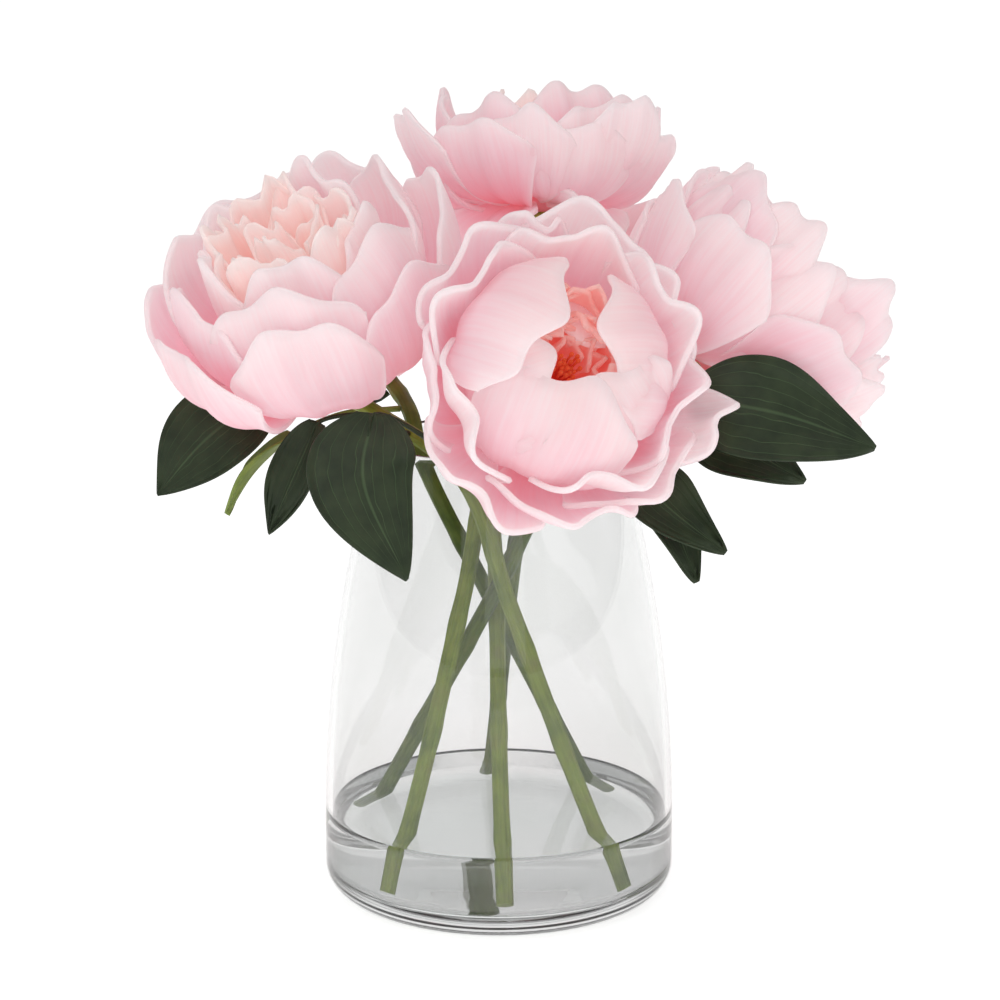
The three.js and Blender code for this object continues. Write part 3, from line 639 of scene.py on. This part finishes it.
def linear(hex_colour):
    """An sRGB hex colour as the linear values that shaders work in."""
    parts = [int(hex_colour.lstrip("#")[i:i + 2], 16) / 255 for i in (0, 2, 4)]
    return tuple(c / 12.92 if c <= 0.04045 else ((c + 0.055) / 1.055) ** 2.4 for c in parts) + (1.0,)


def add_node(tree, kind, inputs=(), stops=(), **settings):
    """Adds one node. An input is a value, a socket to link, or a node to link by its first output in use.
    The stops of a colour ramp are positions with hex colours."""
    made = tree.nodes.new(kind)
    for key, value in settings.items():
        setattr(made, key, value)
    for key, value in inputs.items() if isinstance(inputs, dict) else enumerate(inputs):
        if isinstance(value, bpy.types.Node):
            value = next(socket for socket in value.outputs if socket.enabled)
        if isinstance(value, bpy.types.NodeSocket):
            tree.links.new(value, made.inputs[key])
        else:
            made.inputs[key].default_value = value
    if stops:
        elements = made.color_ramp.elements
        for element, (position, colour) in zip(elements, (stops[0], stops[-1])):
            element.position = position
            element.color = linear(colour)
        for position, colour in stops[1:-1]:
            elements.new(position).color = linear(colour)
    return made


def new_material(name):
    """An empty node material, and the function that adds nodes to it."""
    material = bpy.data.materials.new(name)
    material.use_nodes = True
    material.node_tree.nodes.clear()
    return material, partial(add_node, material.node_tree)


def finish_material(material, shader):
    """Gives a material its surface."""
    add_node(material.node_tree, "ShaderNodeOutputMaterial", {"Surface": shader})
    return material


def coordinates(add):
    """The piece's UV map, its parts along and across the piece, and the place in the object."""
    uv = add("ShaderNodeUVMap", uv_map="along")
    split = add("ShaderNodeSeparateXYZ", [uv]).outputs
    return uv, split["X"], split["Y"], add("ShaderNodeTexCoord").outputs["Object"]


def petal_foam(name, stops, rim_and_highlight_colour, rim_share):
    """Soft moulded foam petal: chalky, faintly see-through, paler at the rim, partly as a painted highlight,
    with a faint painted glow in its own colour.
    """
    material, add = new_material(name)
    uv, run, _, place = coordinates(add)
    # Broad drifts of colour about 20 mm across, as the dye settles unevenly
    drift = add(NOISE, {"Vector": place, "Scale": 48.0, "Detail": 2.0})
    shift = add(MATH, [drift, 0.22, -0.11], operation="MULTIPLY_ADD")
    tone = add("ShaderNodeAttribute", attribute_name="tone").outputs["Fac"]
    tint = add(MATH, [tone, 0.2, shift], operation="MULTIPLY_ADD")
    along = add(MATH, [run, tint], operation="ADD")
    # The colour runs from root to rim. Its deeper tone at the root is partly the petal's own colour and
    # partly painted shade for the hollow deep in the bloom.
    colour = add(RAMP, [along], stops=stops)
    # Veins fan from the root, about 1.5 mm apart at the rim
    stretch = add("ShaderNodeMapping", {"Vector": uv, "Scale": (2.2, 34.0, 1.0)})
    veins = add(NOISE, {"Vector": stretch, "Scale": 1.0, "Detail": 3.0, "Roughness": 0.55},
                noise_dimensions="2D")
    vein_tone = add(RAMP, [veins], stops=[(0.35, "#F0C8D0"), (0.62, "#FFFFFF")])
    veined = add(MIX, {"Factor": 0.12, "A": colour, "B": vein_tone}, data_type="RGBA",
                 blend_type="MULTIPLY")
    # Paler towards the rim: partly the petal's own paler edge, partly a painted highlight where the rolled
    # rim catches light.
    rim = add("ShaderNodeAttribute", attribute_name="rim").outputs["Fac"]
    rim_highlight_mix = add(MATH, [rim, rim_share], operation="MULTIPLY")
    edged = add(MIX, {"Factor": rim_highlight_mix, "A": veined, "B": rim_and_highlight_colour}, data_type="RGBA")
    bump = add(BUMP, {"Strength": 0.25, "Distance": 0.0004, "Height": veins})
    # The foam also glows faintly in its own colour: painted light that lifts the shaded hollows as scattered
    # light would.
    shader = add(PRINCIPLED, {
        "Base Color": edged, "Roughness": 0.62, "IOR": 1.45, "Specular IOR Level": 0.35,
        "Subsurface Weight": 0.45, "Subsurface Radius": (1.0, 0.7, 0.7), "Subsurface Scale": 0.003,
        "Sheen Weight": 0.08, "Emission Color": edged, "Emission Strength": 0.16, "Normal": bump})
    # Light comes through the thin foam and makes the hollows glow
    glow = add("ShaderNodeBsdfTranslucent", {"Color": edged})
    return finish_material(material, add("ShaderNodeMixShader", [0.5, shader, glow]))


def leaf_cloth(name, blade, vein, roughness):
    """Waxed dyed fabric leaf: dark satin blade with pale veins that run from stalk to tip."""
    material, add = new_material(name)
    uv, _, width, place = coordinates(add)
    centred = add(MATH, [width, 2.0, -1.0], operation="MULTIPLY_ADD")
    side = add(MATH, [centred], operation="ABSOLUTE")
    # Long veins about 3 mm apart in the middle of the blade
    bands = add(MATH, [side, 4.3 * 2 * math.pi], operation="MULTIPLY")
    wobble = add(NOISE, {"Vector": uv, "Scale": 6.0, "Detail": 1.0}, noise_dimensions="2D")
    wander = add(MATH, [wobble, 4.0, bands], operation="MULTIPLY_ADD")
    wave = add(MATH, [wander], operation="COSINE")
    line = add("ShaderNodeMapRange", {"Value": wave, "From Min": 0.955, "From Max": 1.0})
    rib = add("ShaderNodeMapRange", {"Value": side, "From Min": 0.05, "From Max": 0.015})
    veins = add(MATH, [line, rib], operation="MAXIMUM")
    fade = add(MATH, [veins, 0.32], operation="MULTIPLY")
    mottle = add(NOISE, {"Vector": place, "Scale": 110.0, "Detail": 3.0})
    body = add(RAMP, [mottle], stops=[(0.3, blade[0]), (0.7, blade[1])])
    colour = add(MIX, {"Factor": fade, "A": body, "B": linear(vein)}, data_type="RGBA")
    # Woven backing under the wax, drawn at 0.5 mm so that it shows
    weave = add(NOISE, {"Vector": place, "Scale": 2000.0, "Detail": 1.0})
    height = add(MATH, [weave, 0.15, veins], operation="MULTIPLY_ADD")
    bump = add(BUMP, {"Strength": 0.4, "Distance": 0.0004, "Height": height})
    return finish_material(material, add(PRINCIPLED, {
        "Base Color": colour, "Roughness": roughness, "IOR": 1.45, "Specular IOR Level": 0.3,
        "Normal": bump}))


def stem_plastic(name, dark, light, roughness):
    """Moulded green stem: semi-matt, with fine ridges along it and brownish patches."""
    material, add = new_material(name)
    uv, _, turn, place = coordinates(add)
    patch = add(NOISE, {"Vector": place, "Scale": 70.0, "Detail": 3.0})
    body = add(RAMP, [patch], stops=[(0.3, dark), (0.55, light), (0.8, "#8A8A50")])
    stretch = add("ShaderNodeMapping", {"Vector": uv, "Scale": (14.0, 18.0, 1.0)})
    streak = add(NOISE, {"Vector": stretch, "Scale": 1.0, "Detail": 2.0}, noise_dimensions="2D")
    streaked = add(RAMP, [streak], stops=[(0.3, "#C3CE9E"), (0.7, "#FFFFFF")])
    colour = add(MIX, {"Factor": 0.55, "A": body, "B": streaked}, data_type="RGBA",
                 blend_type="MULTIPLY")
    # Ten ridges around the stem
    ridges = add(MATH, [turn, 10 * 2 * math.pi], operation="MULTIPLY")
    ridge = add(MATH, [ridges], operation="COSINE")
    bump = add(BUMP, {"Strength": 0.35, "Distance": 0.0004, "Height": ridge})
    return finish_material(material, add(PRINCIPLED, {
        "Base Color": colour, "Roughness": roughness, "IOR": 1.45, "Subsurface Weight": 0.08,
        "Subsurface Scale": 0.002, "Normal": bump}))


def clear_glass(name, colour, ior, ripple):
    """Clear polished glass or still water: bends what is behind it, with the faintest unevenness."""
    material, add = new_material(name)
    place = add("ShaderNodeTexCoord").outputs["Object"]
    drift = add(NOISE, {"Vector": place, "Scale": 22.0, "Detail": 1.0})
    tint = add(RAMP, [drift], stops=[(0.2, colour[0]), (0.8, colour[1])])
    bump = add(BUMP, {"Strength": 0.12, "Distance": ripple, "Height": drift})
    shader = add(PRINCIPLED, {
        "Base Color": tint, "Roughness": 0.0, "IOR": ior, "Transmission Weight": 1.0, "Normal": bump})
    # Lamp light passes straight through, as it nearly does through thin clear glass
    shadow = add("ShaderNodeLightPath").outputs["Is Shadow Ray"]
    clear = add("ShaderNodeBsdfTransparent", {"Color": tint})
    return finish_material(material, add("ShaderNodeMixShader", [shadow, shader, clear]))


def floor_paint(name, colour):
    """Matt white studio board, lit faintly from below, as a product table is."""
    material, add = new_material(name)
    place = add("ShaderNodeTexCoord").outputs["Object"]
    grain = add(NOISE, {"Vector": place, "Scale": 300.0})
    body = add(RAMP, [grain], stops=[(0.3, colour), (0.7, "#FFFFFF")])
    return finish_material(material, add(PRINCIPLED, {
        "Base Color": body, "Roughness": 0.8, "Emission Color": (1, 1, 1, 1), "Emission Strength": 0.55}))


# Settings

class VaseSettings(bpy.types.PropertyGroup):
    """Glass and water."""
    water_level: bpy.props.FloatProperty(
        name="Water level", description="Height of the water above the floor",
        default=0.031, min=0.012, max=0.1, unit="LENGTH")
    glass_ior: bpy.props.FloatProperty(
        name="Glass IOR", description="How strongly the glass bends light", default=1.5, min=1.3, max=1.7)


class BloomSettings(bpy.types.PropertyGroup):
    """Petals."""
    petal_thickness: bpy.props.FloatProperty(
        name="Petal thickness", description="Thickness of a petal",
        default=0.0011, min=0.0006, max=0.002, unit="LENGTH")
    # The pale rim colour is partly a painted highlight along the rolled rims.
    rim_and_highlight_colour: bpy.props.FloatVectorProperty(
        name="Rim colour", description="Pale colour of the rims of the pink petals",
        default=linear("#FBF4F5")[:3], subtype="COLOR", size=3, min=0, max=1)
    steps: bpy.props.IntProperty(
        name="Petal detail", description="Divisions along a petal", default=20, min=4, max=40)


class LeafSettings(bpy.types.PropertyGroup):
    """Leaves and stems."""
    leaf_thickness: bpy.props.FloatProperty(
        name="Leaf thickness", description="Thickness of a leaf blade",
        default=0.0009, min=0.0006, max=0.002, unit="LENGTH")
    stem_radius: bpy.props.FloatProperty(
        name="Stem radius", description="Radius of a stem",
        default=0.0029, min=0.002, max=0.004, unit="LENGTH")


class StageSettings(bpy.types.PropertyGroup):
    """Camera and light."""
    light_power: bpy.props.FloatProperty(
        name="Light power", description="Power that the lamps share out",
        default=4.2, min=0, max=100, unit="POWER")
    world_strength: bpy.props.FloatProperty(
        name="Surround", description="Brightness of the white surround", default=0.6, min=0, max=2)


# Operators

def bell(z):
    """Outer radius of the vase at a height."""
    rise = max(0, (z - BELL_START) / (VASE_HEIGHT - BELL_START))
    return BODY_RADIUS - (BODY_RADIUS - RIM_RADIUS) * rise ** BELL_POWER


def floor_corner(side, bottom, degrees):
    """The rounded corner between a wall and a floor, as points of an outline."""
    r = FLOOR_ROUNDING
    return [(side - r + r * math.cos(a), bottom + r * (1 - math.sin(a))) for a in np.radians(degrees)]


class PEONY_OT_vase(bpy.types.Operator):
    """Turns the glass vase and the water in it"""
    bl_idname = "peony.vase"
    bl_label = "Vase and Water"

    def execute(self, context):
        settings = context.scene.peony_vase
        outline = [(0, 0), (FOOT_RADIUS * 0.5, 0), (FOOT_RADIUS, 0)]
        for a in np.radians(np.linspace(8, 90, 10)):
            outline.append((FOOT_RADIUS + FOOT_ROUNDING * math.sin(a), FOOT_ROUNDING * (1 - math.cos(a))))
        outline += [(bell(z), z) for z in np.linspace(14, 167.4, 44)]
        lip = WALL / 2
        for a in np.radians(np.linspace(0, 180, 9)):
            outline.append((bell(LIP_CENTRE) - lip + lip * math.cos(a), LIP_CENTRE + lip * math.sin(a)))
        outline += [(bell(z) - WALL, z) for z in np.linspace(166.5, 15, 40)]
        inner = BODY_RADIUS - WALL
        outline += floor_corner(inner, GLASS_FLOOR, np.linspace(0, 90, 8))
        outline += [(inner * 0.5, GLASS_FLOOR), (0, GLASS_FLOOR)]
        shape = Shape()
        revolved(shape, outline, VASE_SIDES)
        glass = clear_glass("clear_soda_glass", ("#ECEDEC", "#F1F1F1"), settings.glass_ior, 0.00002)
        dress(shape.build("vase", glass), "vase_glass")

        # The water meets the glass just inside its wall, so no film of air shows between them
        sunk = 0.12
        level = settings.water_level / MM
        side = inner + sunk
        bottom = GLASS_FLOOR - sunk
        outline = [(0, bottom), (side - FLOOR_ROUNDING, bottom)]
        outline += floor_corner(side, bottom, np.linspace(80, 0, 7))
        # Its edge climbs the wall a little
        climb, edge_width = 0.6, 2.4
        outline += [(bell(z) - WALL + sunk, z) for z in np.linspace(15, level + climb, 8)]
        for t in np.linspace(0.15, 1, 8):
            outline.append((bell(level) - WALL - edge_width * t, level + climb * (1 - t) ** 2))
        outline += [(30, level), (0, level)]
        shape = Shape()
        revolved(shape, outline, VASE_SIDES)
        water = clear_glass("still_water", ("#FCFEFE", "#FFFFFF"), 1.333, 0.00003)
        dress(shape.build("water_body", water), "water")
        return {"FINISHED"}


def stem_node_tree():
    """Sweeps a ridged round outline along a curve."""
    tree = bpy.data.node_groups.new("ridged_stem", "GeometryNodeTree")
    add = partial(add_node, tree)
    face = tree.interface
    face.new_socket("Geometry", in_out="INPUT", socket_type="NodeSocketGeometry")
    for label, value in (("Radius", 0.0029), ("Ridge height", 0.00012), ("Node swelling", 0.00035)):
        face.new_socket(label, in_out="INPUT", socket_type="NodeSocketFloat").default_value = value
    face.new_socket("Ridges", in_out="INPUT", socket_type="NodeSocketInt").default_value = 9
    face.new_socket("Material", in_out="INPUT", socket_type="NodeSocketMaterial")
    face.new_socket("Geometry", in_out="OUTPUT", socket_type="NodeSocketGeometry")
    given = add("NodeGroupInput").outputs
    along = add("GeometryNodeSplineParameter").outputs["Factor"]
    # Gentle swellings where old leaves were attached
    beat = add(MATH, [along, 19.0], operation="MULTIPLY")
    bulge = add(MATH, [beat], operation="SINE")
    lifted = add(MATH, [bulge, 12.0], operation="POWER")
    extra = add(MATH, [lifted, given["Node swelling"]], operation="MULTIPLY")
    size = add(MATH, [extra, given["Radius"]], operation="ADD")
    sized = add("GeometryNodeSetCurveRadius", {"Curve": given["Geometry"], "Radius": size})
    circle = add("GeometryNodeCurvePrimitiveCircle", {"Resolution": 36, "Radius": 1.0})
    position = add("GeometryNodeInputPosition")
    around = add("GeometryNodeSplineParameter").outputs["Factor"]
    turns = add(MATH, [around, given["Ridges"]], operation="MULTIPLY")
    angle = add(MATH, [turns, 2 * math.pi], operation="MULTIPLY")
    ridge = add(MATH, [angle], operation="COSINE")
    share = add(MATH, [given["Ridge height"], given["Radius"]], operation="DIVIDE")
    height = add(MATH, [ridge, share], operation="MULTIPLY")
    offset = add("ShaderNodeVectorMath", {0: position, "Scale": height}, operation="SCALE")
    ridged = add("GeometryNodeSetPosition", {"Geometry": circle, "Offset": offset})
    # Stored before the sweep, so that the streaks follow the stem
    length = add(STORE, {"Geometry": sized, "Name": "run", "Value": along})
    round_at = add(STORE, {"Geometry": ridged, "Name": "round", "Value": around})
    swept = add("GeometryNodeCurveToMesh", {
        "Curve": length, "Profile Curve": round_at, "Fill Caps": True, "Scale": size})
    run = add("GeometryNodeInputNamedAttribute", {"Name": "run"})
    turn = add("GeometryNodeInputNamedAttribute", {"Name": "round"})
    pair = add("ShaderNodeCombineXYZ", {"X": run, "Y": turn})
    mapped = add(STORE, {"Geometry": swept, "Name": "along", "Value": pair}, domain="CORNER",
                 data_type="FLOAT2")
    whole = add("GeometryNodeRealizeInstances", {"Geometry": mapped})
    dressed = add("GeometryNodeSetMaterial", {"Geometry": whole, "Material": given["Material"]})
    smooth = add("GeometryNodeSetShadeSmooth", {"Geometry": dressed})
    add("NodeGroupOutput", {"Geometry": smooth})
    return tree


def apply_tree(source, tree, values, name):
    """Runs a node tree on an object and returns its result as a plain mesh object."""
    modifier = source.modifiers.new("growth", "NODES")
    modifier.node_group = tree
    sockets = {item.name: item.identifier for item in tree.interface.items_tree
               if item.in_out == "INPUT" and item.socket_type != "NodeSocketGeometry"}
    for label, value in values.items():
        modifier[sockets[label]] = value
    bpy.context.view_layer.update()
    graph = bpy.context.evaluated_depsgraph_get()
    mesh = bpy.data.meshes.new_from_object(source.evaluated_get(graph), preserve_all_data_layers=True,
                                           depsgraph=graph)
    made = add_object(name, mesh)
    source.modifiers.remove(modifier)
    bpy.data.objects.remove(source)
    return made


def curve_object(points, name):
    """A smooth curve through points given in millimetres."""
    data = bpy.data.curves.new(name, "CURVE")
    data.dimensions = "3D"
    spline = data.splines.new("POLY")
    spline.points.add(len(points) - 1)
    for target, p in zip(spline.points, points):
        target.co = (*(np.asarray(p) * MM), 1)
    return add_object(name, data)


class PEONY_OT_stems(bpy.types.Operator):
    """Sweeps the stems from the water up through the neck"""
    bl_idname = "peony.stems"
    bl_label = "Stems"

    def execute(self, context):
        settings = context.scene.peony_leaves
        # A lighter and a darker copy of one stem colour: painted light and shade that tell the crossing stems
        # apart.
        light = stem_plastic("moulded_green_stem_painted_lit", "#627822", "#92A340", 0.5)
        painted_shade_green = stem_plastic("moulded_green_stem_painted_shade", "#465A18", "#6C7F30", 0.5)
        tree = stem_node_tree()
        for name in STEMS:
            # Stems whose feet stand towards the back take the darker copy: painted shade, so that crossing
            # stems part as a lit and a shaded stem would
            green = light if STEMS[name][0][1] < 0 else painted_shade_green
            source = curve_object(spline_even(stem_controls(name), STEM_POINTS), f"line_{name}")
            values = {"Radius": settings.stem_radius, "Material": green}
            dress(apply_tree(source, tree, values, f"stem_of_{name}"), f"stem_{name}")
        return {"FINISHED"}


class PEONY_OT_calyxes(bpy.types.Operator):
    """Shapes the green cup and sepals under each bloom"""
    bl_idname = "peony.calyxes"
    bl_label = "Sepals"

    def execute(self, context):
        green = stem_plastic("moulded_sepal", "#7C8E38", "#A9B84A", 0.55)
        corners = [(0, -CUP_DEPTH), (3, -CUP_DEPTH), (4.9, -4.8), (6.4, -2.8), (5.9, -1.4)]
        corners += [(5, -GAP), (0, -GAP)]
        for name, bloom in BLOOMS.items():
            shape = Shape()
            revolved(shape, smooth_outline(corners, 22), 36, FRAMES[name], 0.5)
            for k in range(bloom["sepals"]):
                place = (360 * k / bloom["sepals"] + 10 * jitter(k + bloom["seed"]), 0, 1, 1)
                sheet(shape, lambda u, v: petal_points(name, SEPAL, place, 7 * k + 1, u, v, [], 0.5),
                      SEPAL_STEPS, SEPAL_THICKNESS, 0.5 + 0.5 * jitter(k), SEPAL_RIM)
            dress(shape.build(f"sepals_of_{name}", green), f"calyx_{name}")
        return {"FINISHED"}


class PEONY_OT_blooms(bpy.types.Operator):
    """Grows the pink petals of each bloom"""
    bl_idname = "peony.blooms"
    bl_label = "Pink Petals"

    def execute(self, context):
        settings = context.scene.peony_blooms
        # Deeper pink at the root, partly its own colour and partly painted shade in the bloom's hollow, to
        # pale at the rim.
        stops = [(0.0, "#FAACB6"), (0.35, "#F9CFD8"), (0.65, "#F8E4E9"), (0.95, "#FAF0F1")]
        pink = petal_foam("pale_pink_petal_foam", stops, (*settings.rim_and_highlight_colour, 1.0), 0.6)
        steps = (settings.steps, round(ACROSS_PER_STEP * settings.steps))
        core = core_outline(CORE_RADIUS, CORE_HEIGHT / 2, CORE_HEIGHT / 2)
        for name, bloom in BLOOMS.items():
            shape = Shape()
            planes = planes_of(name)
            revolved(shape, core, 24, FRAMES[name], 0.0)
            for i, ring in enumerate(bloom["rings"]):
                seed = 20 * bloom["seed"] + 5 * i
                grow_ring(shape, name, ring, seed, steps, settings.petal_thickness / MM, planes, PETAL_RIM)
            dress(shape.build(f"petals_of_{name}", pink), f"bloom_{name}")
        return {"FINISHED"}


class PEONY_OT_hearts(bpy.types.Operator):
    """Grows the coral and peach inner petals of each bloom"""
    bl_idname = "peony.hearts"
    bl_label = "Inner Petals"

    def execute(self, context):
        settings = context.scene.peony_blooms
        # These also deepen towards the root, partly their own colour and partly painted shade in the bloom's
        # hollow.
        coral = petal_foam("coral_petal_foam", [(0.0, "#FA8E80"), (0.4, "#FBA498"), (0.75, "#FCBBB2"),
                                                (1.0, "#FDD2CC")], linear("#FEE0DA"), 0.5)
        peach = petal_foam("peach_petal_foam", [(0.0, "#F8B8AE"), (0.4, "#FCD8D2"), (0.75, "#FDE8E4"),
                                                (1.0, "#FEF2F0")], linear("#FFF8F6"), 0.6)
        core = core_outline(HEART_CORE, HEART_CORE, CORE_HEIGHT + GAP + HEART_CORE)
        thickness = settings.petal_thickness / MM
        for name, bloom in BLOOMS.items():
            shape = Shape()
            planes = planes_of(name)
            revolved(shape, core, 20, FRAMES[name], 0.0)
            seed = 20 * bloom["seed"] + 17
            grow_ring(shape, name, bloom["heart"], seed, HEART_STEPS, thickness, planes, HEART_RIM)
            for extra, ring in enumerate(FILL_RINGS[name]):
                own = seed + 31 + 7 * extra
                grow_ring(shape, name, ring, own, FILL_STEPS, FILL_THICKNESS, planes, FILL_RIM)
            foam = peach if name in ("left", "back") else coral
            dress(shape.build(f"heart_of_{name}", foam), f"heart_{name}")
        return {"FINISHED"}


class PEONY_OT_stamens(bpy.types.Operator):
    """Sets the tuft of stamens in the front bloom"""
    bl_idname = "peony.stamens"
    bl_label = "Stamens"

    def execute(self, context):
        origin, axis, first, second = FRAMES["front"]
        foot = CORE_HEIGHT + 2 * GAP + 2 * HEART_CORE
        shape = Shape()
        revolved(shape, core_outline(3.6, 2.2, foot + 2.2), 20, FRAMES["front"], 0.0)
        knob = [(0.8 * math.sin(b), -1.7 * math.cos(b)) for b in np.linspace(0, math.pi, 8)]
        for k in range(STAMEN_COUNT):
            a = STAMEN_TURN * k
            spread = 0.6 + 0.09 * k
            reach = 2.1 * spread
            tip = (reach * math.cos(a), reach * math.sin(a), foot + STAMEN_LENGTH + 3 * jitter(k))
            root = (0.55 * spread * math.cos(a), 0.55 * spread * math.sin(a), foot + 1.6)
            bend = [(r + t) / 2 for r, t in zip(root, tip)]
            bend = (bend[0] + 0.7 * math.cos(a), bend[1] + 0.7 * math.sin(a), bend[2])
            line = [origin + x * first + y * second + z * axis for x, y, z in (root, bend, tip)]
            tube(shape, line, STAMEN_RADIUS, 8, 8, 0.2 * jitter(k), 0.2)
            revolved(shape, knob, 10, (line[-1], axis, first, second), 0.9, 0.8)
        red = petal_foam("red_orange_stamen", [(0.0, "#E04A34"), (0.5, "#E8523C"), (1.0, "#F08050")],
                         linear("#F09058"), 0.2)
        dress(shape.build("stamens_of_front", red), "stamens_front")
        return {"FINISHED"}


class PEONY_OT_leaves(bpy.types.Operator):
    """Grows the leaves on their stalks"""
    bl_idname = "peony.leaves"
    bl_label = "Leaves"

    def execute(self, context):
        settings = context.scene.peony_leaves
        dark = leaf_cloth("waxed_dark_leaf", ("#242F1E", "#323E28"), "#5C7450", 0.5)
        pale = leaf_cloth("waxed_pale_leaf", ("#6F8240", "#8B9B4E"), "#A9B56E", 0.5)
        for name, plan in LEAVES.items():
            controls = leaf_controls(plan, settings.stem_radius / MM)
            shape = Shape()
            sheet(shape, lambda u, v: leaf_points(plan, controls, u, v), LEAF_STEPS,
                  settings.leaf_thickness / MM, 0.5 * jitter(len(name)), LEAF_RIM)
            # The stalk runs on under the blade as its midrib
            under = [leaf_points(plan, controls, np.array([t]), np.array([0.0]))[0] for t in (0.001, 0.18)]
            tube(shape, controls[:3] + under, 1.2, 12, 24, 0.5, 0.5)
            dress(shape.build(f"blade_{name}", pale if plan["pale"] else dark), name)
        return {"FINISHED"}


def white_surround(level):
    """Plain white walls, whose light is greyer to the left and right, which draws the edges of the glass."""
    world = bpy.data.worlds.new("white_surround")
    world.use_nodes = True
    world.node_tree.nodes.clear()
    add = partial(add_node, world.node_tree)
    heading = add("ShaderNodeTexCoord").outputs["Generated"]
    split = add("ShaderNodeSeparateXYZ", [heading])
    across = add(MATH, [split.outputs["X"]], operation="ABSOLUTE")
    dim = add("ShaderNodeMapRange", {
        "Value": across, "From Min": 0.55, "From Max": 0.95, "To Min": level, "To Max": 0.35 * level})
    path = add("ShaderNodeLightPath").outputs
    # Seen through the clear glass and water, the walls are a little brighter
    lift = add(MATH, [path["Is Singular Ray"], 0.45, 1.0], operation="MULTIPLY_ADD")
    wall = add(MATH, [dim, lift], operation="MULTIPLY")
    seen = add(MIX, {"Factor": path["Is Camera Ray"], "A": wall, "B": 1.0}, data_type="FLOAT")
    back = add("ShaderNodeBackground", {"Color": (1, 1, 1, 1), "Strength": seen})
    add("ShaderNodeOutputWorld", {"Surface": back})
    return world


class PEONY_OT_stage(bpy.types.Operator):
    """Sets the floor, the soft light and the camera"""
    bl_idname = "peony.stage"
    bl_label = "Stage"

    def execute(self, context):
        settings = context.scene.peony_stage
        mesh = bpy.data.meshes.new("floor")
        ways = ((-1, -1), (1, -1), (1, 1), (-1, 1))
        corners = [(x * FLOOR_REACH, y * FLOOR_REACH, FLOOR_LEVEL) for x, y in ways]
        mesh.from_pydata(corners, [], [(0, 1, 2, 3)])
        mesh.materials.append(floor_paint("matt_white_board", "#F7F7F6"))
        floor = add_object("floor", mesh)
        bpy.context.scene.world = white_surround(settings.world_strength)
        for name, (place, size, share) in LAMPS.items():
            data = bpy.data.lights.new(name, "AREA")
            data.shape = "SQUARE"
            data.size = size
            data.energy = settings.light_power * share
            light = add_object(name, data)
            light.location = place
            # The lamp in front lights the blooms but leaves no square of glare on the glass
            light.visible_glossy = name != "front_light"
            x, y, z = np.array([0, 0, AIM_HEIGHT]) - np.array(place)
            light.rotation_euler = (math.atan2(math.hypot(x, y), -z), 0, math.atan2(y, x) - math.pi / 2)
        data = bpy.data.cameras.new("camera")
        data.lens = LENS
        data.sensor_width = SENSOR
        camera = add_object("camera", data)
        camera.location = CAMERA_PLACE
        camera.rotation_euler = (math.radians(CAMERA_TILT), 0, 0)
        bpy.context.scene.camera = camera
        bpy.context.scene.view_settings.view_transform = "Standard"
        return {"FINISHED"}


# Panel and registration

PANEL_ROWS = (
    ("peony_vase", ("peony.vase",)),
    ("peony_leaves", ("peony.stems", "peony.leaves")),
    ("peony_blooms", ("peony.calyxes", "peony.blooms", "peony.hearts", "peony.stamens")),
    ("peony_stage", ("peony.stage",)),
)


class PEONY_PT_panel(bpy.types.Panel):
    """Lists the steps that make the arrangement"""
    bl_idname = "PEONY_PT_panel"
    bl_label = "Peonies"
    bl_space_type = "VIEW_3D"
    bl_region_type = "UI"
    bl_category = "Peonies"

    def draw(self, context):
        for group, operators in PANEL_ROWS:
            box = self.layout.box()
            settings = getattr(context.scene, group)
            for name in settings.__annotations__:
                box.prop(settings, name)
            for operator in operators:
                box.operator(operator)


SETTINGS = {
    "peony_vase": VaseSettings,
    "peony_blooms": BloomSettings,
    "peony_leaves": LeafSettings,
    "peony_stage": StageSettings,
}
CLASSES = (
    *SETTINGS.values(), PEONY_OT_vase, PEONY_OT_stems, PEONY_OT_calyxes, PEONY_OT_blooms, PEONY_OT_hearts,
    PEONY_OT_stamens, PEONY_OT_leaves, PEONY_OT_stage, PEONY_PT_panel,
)


def register():
    for cls in CLASSES:
        bpy.utils.register_class(cls)
    for name, group in SETTINGS.items():
        setattr(bpy.types.Scene, name, bpy.props.PointerProperty(type=group))


def unregister():
    for name in SETTINGS:
        delattr(bpy.types.Scene, name)
    for cls in reversed(CLASSES):
        bpy.utils.unregister_class(cls)


def main():
    register()
    for operator in (bpy.ops.peony.vase, bpy.ops.peony.stems, bpy.ops.peony.calyxes, bpy.ops.peony.blooms,
                     bpy.ops.peony.hearts, bpy.ops.peony.stamens, bpy.ops.peony.leaves, bpy.ops.peony.stage):
        operator()


if __name__ == "__main__":
    main()
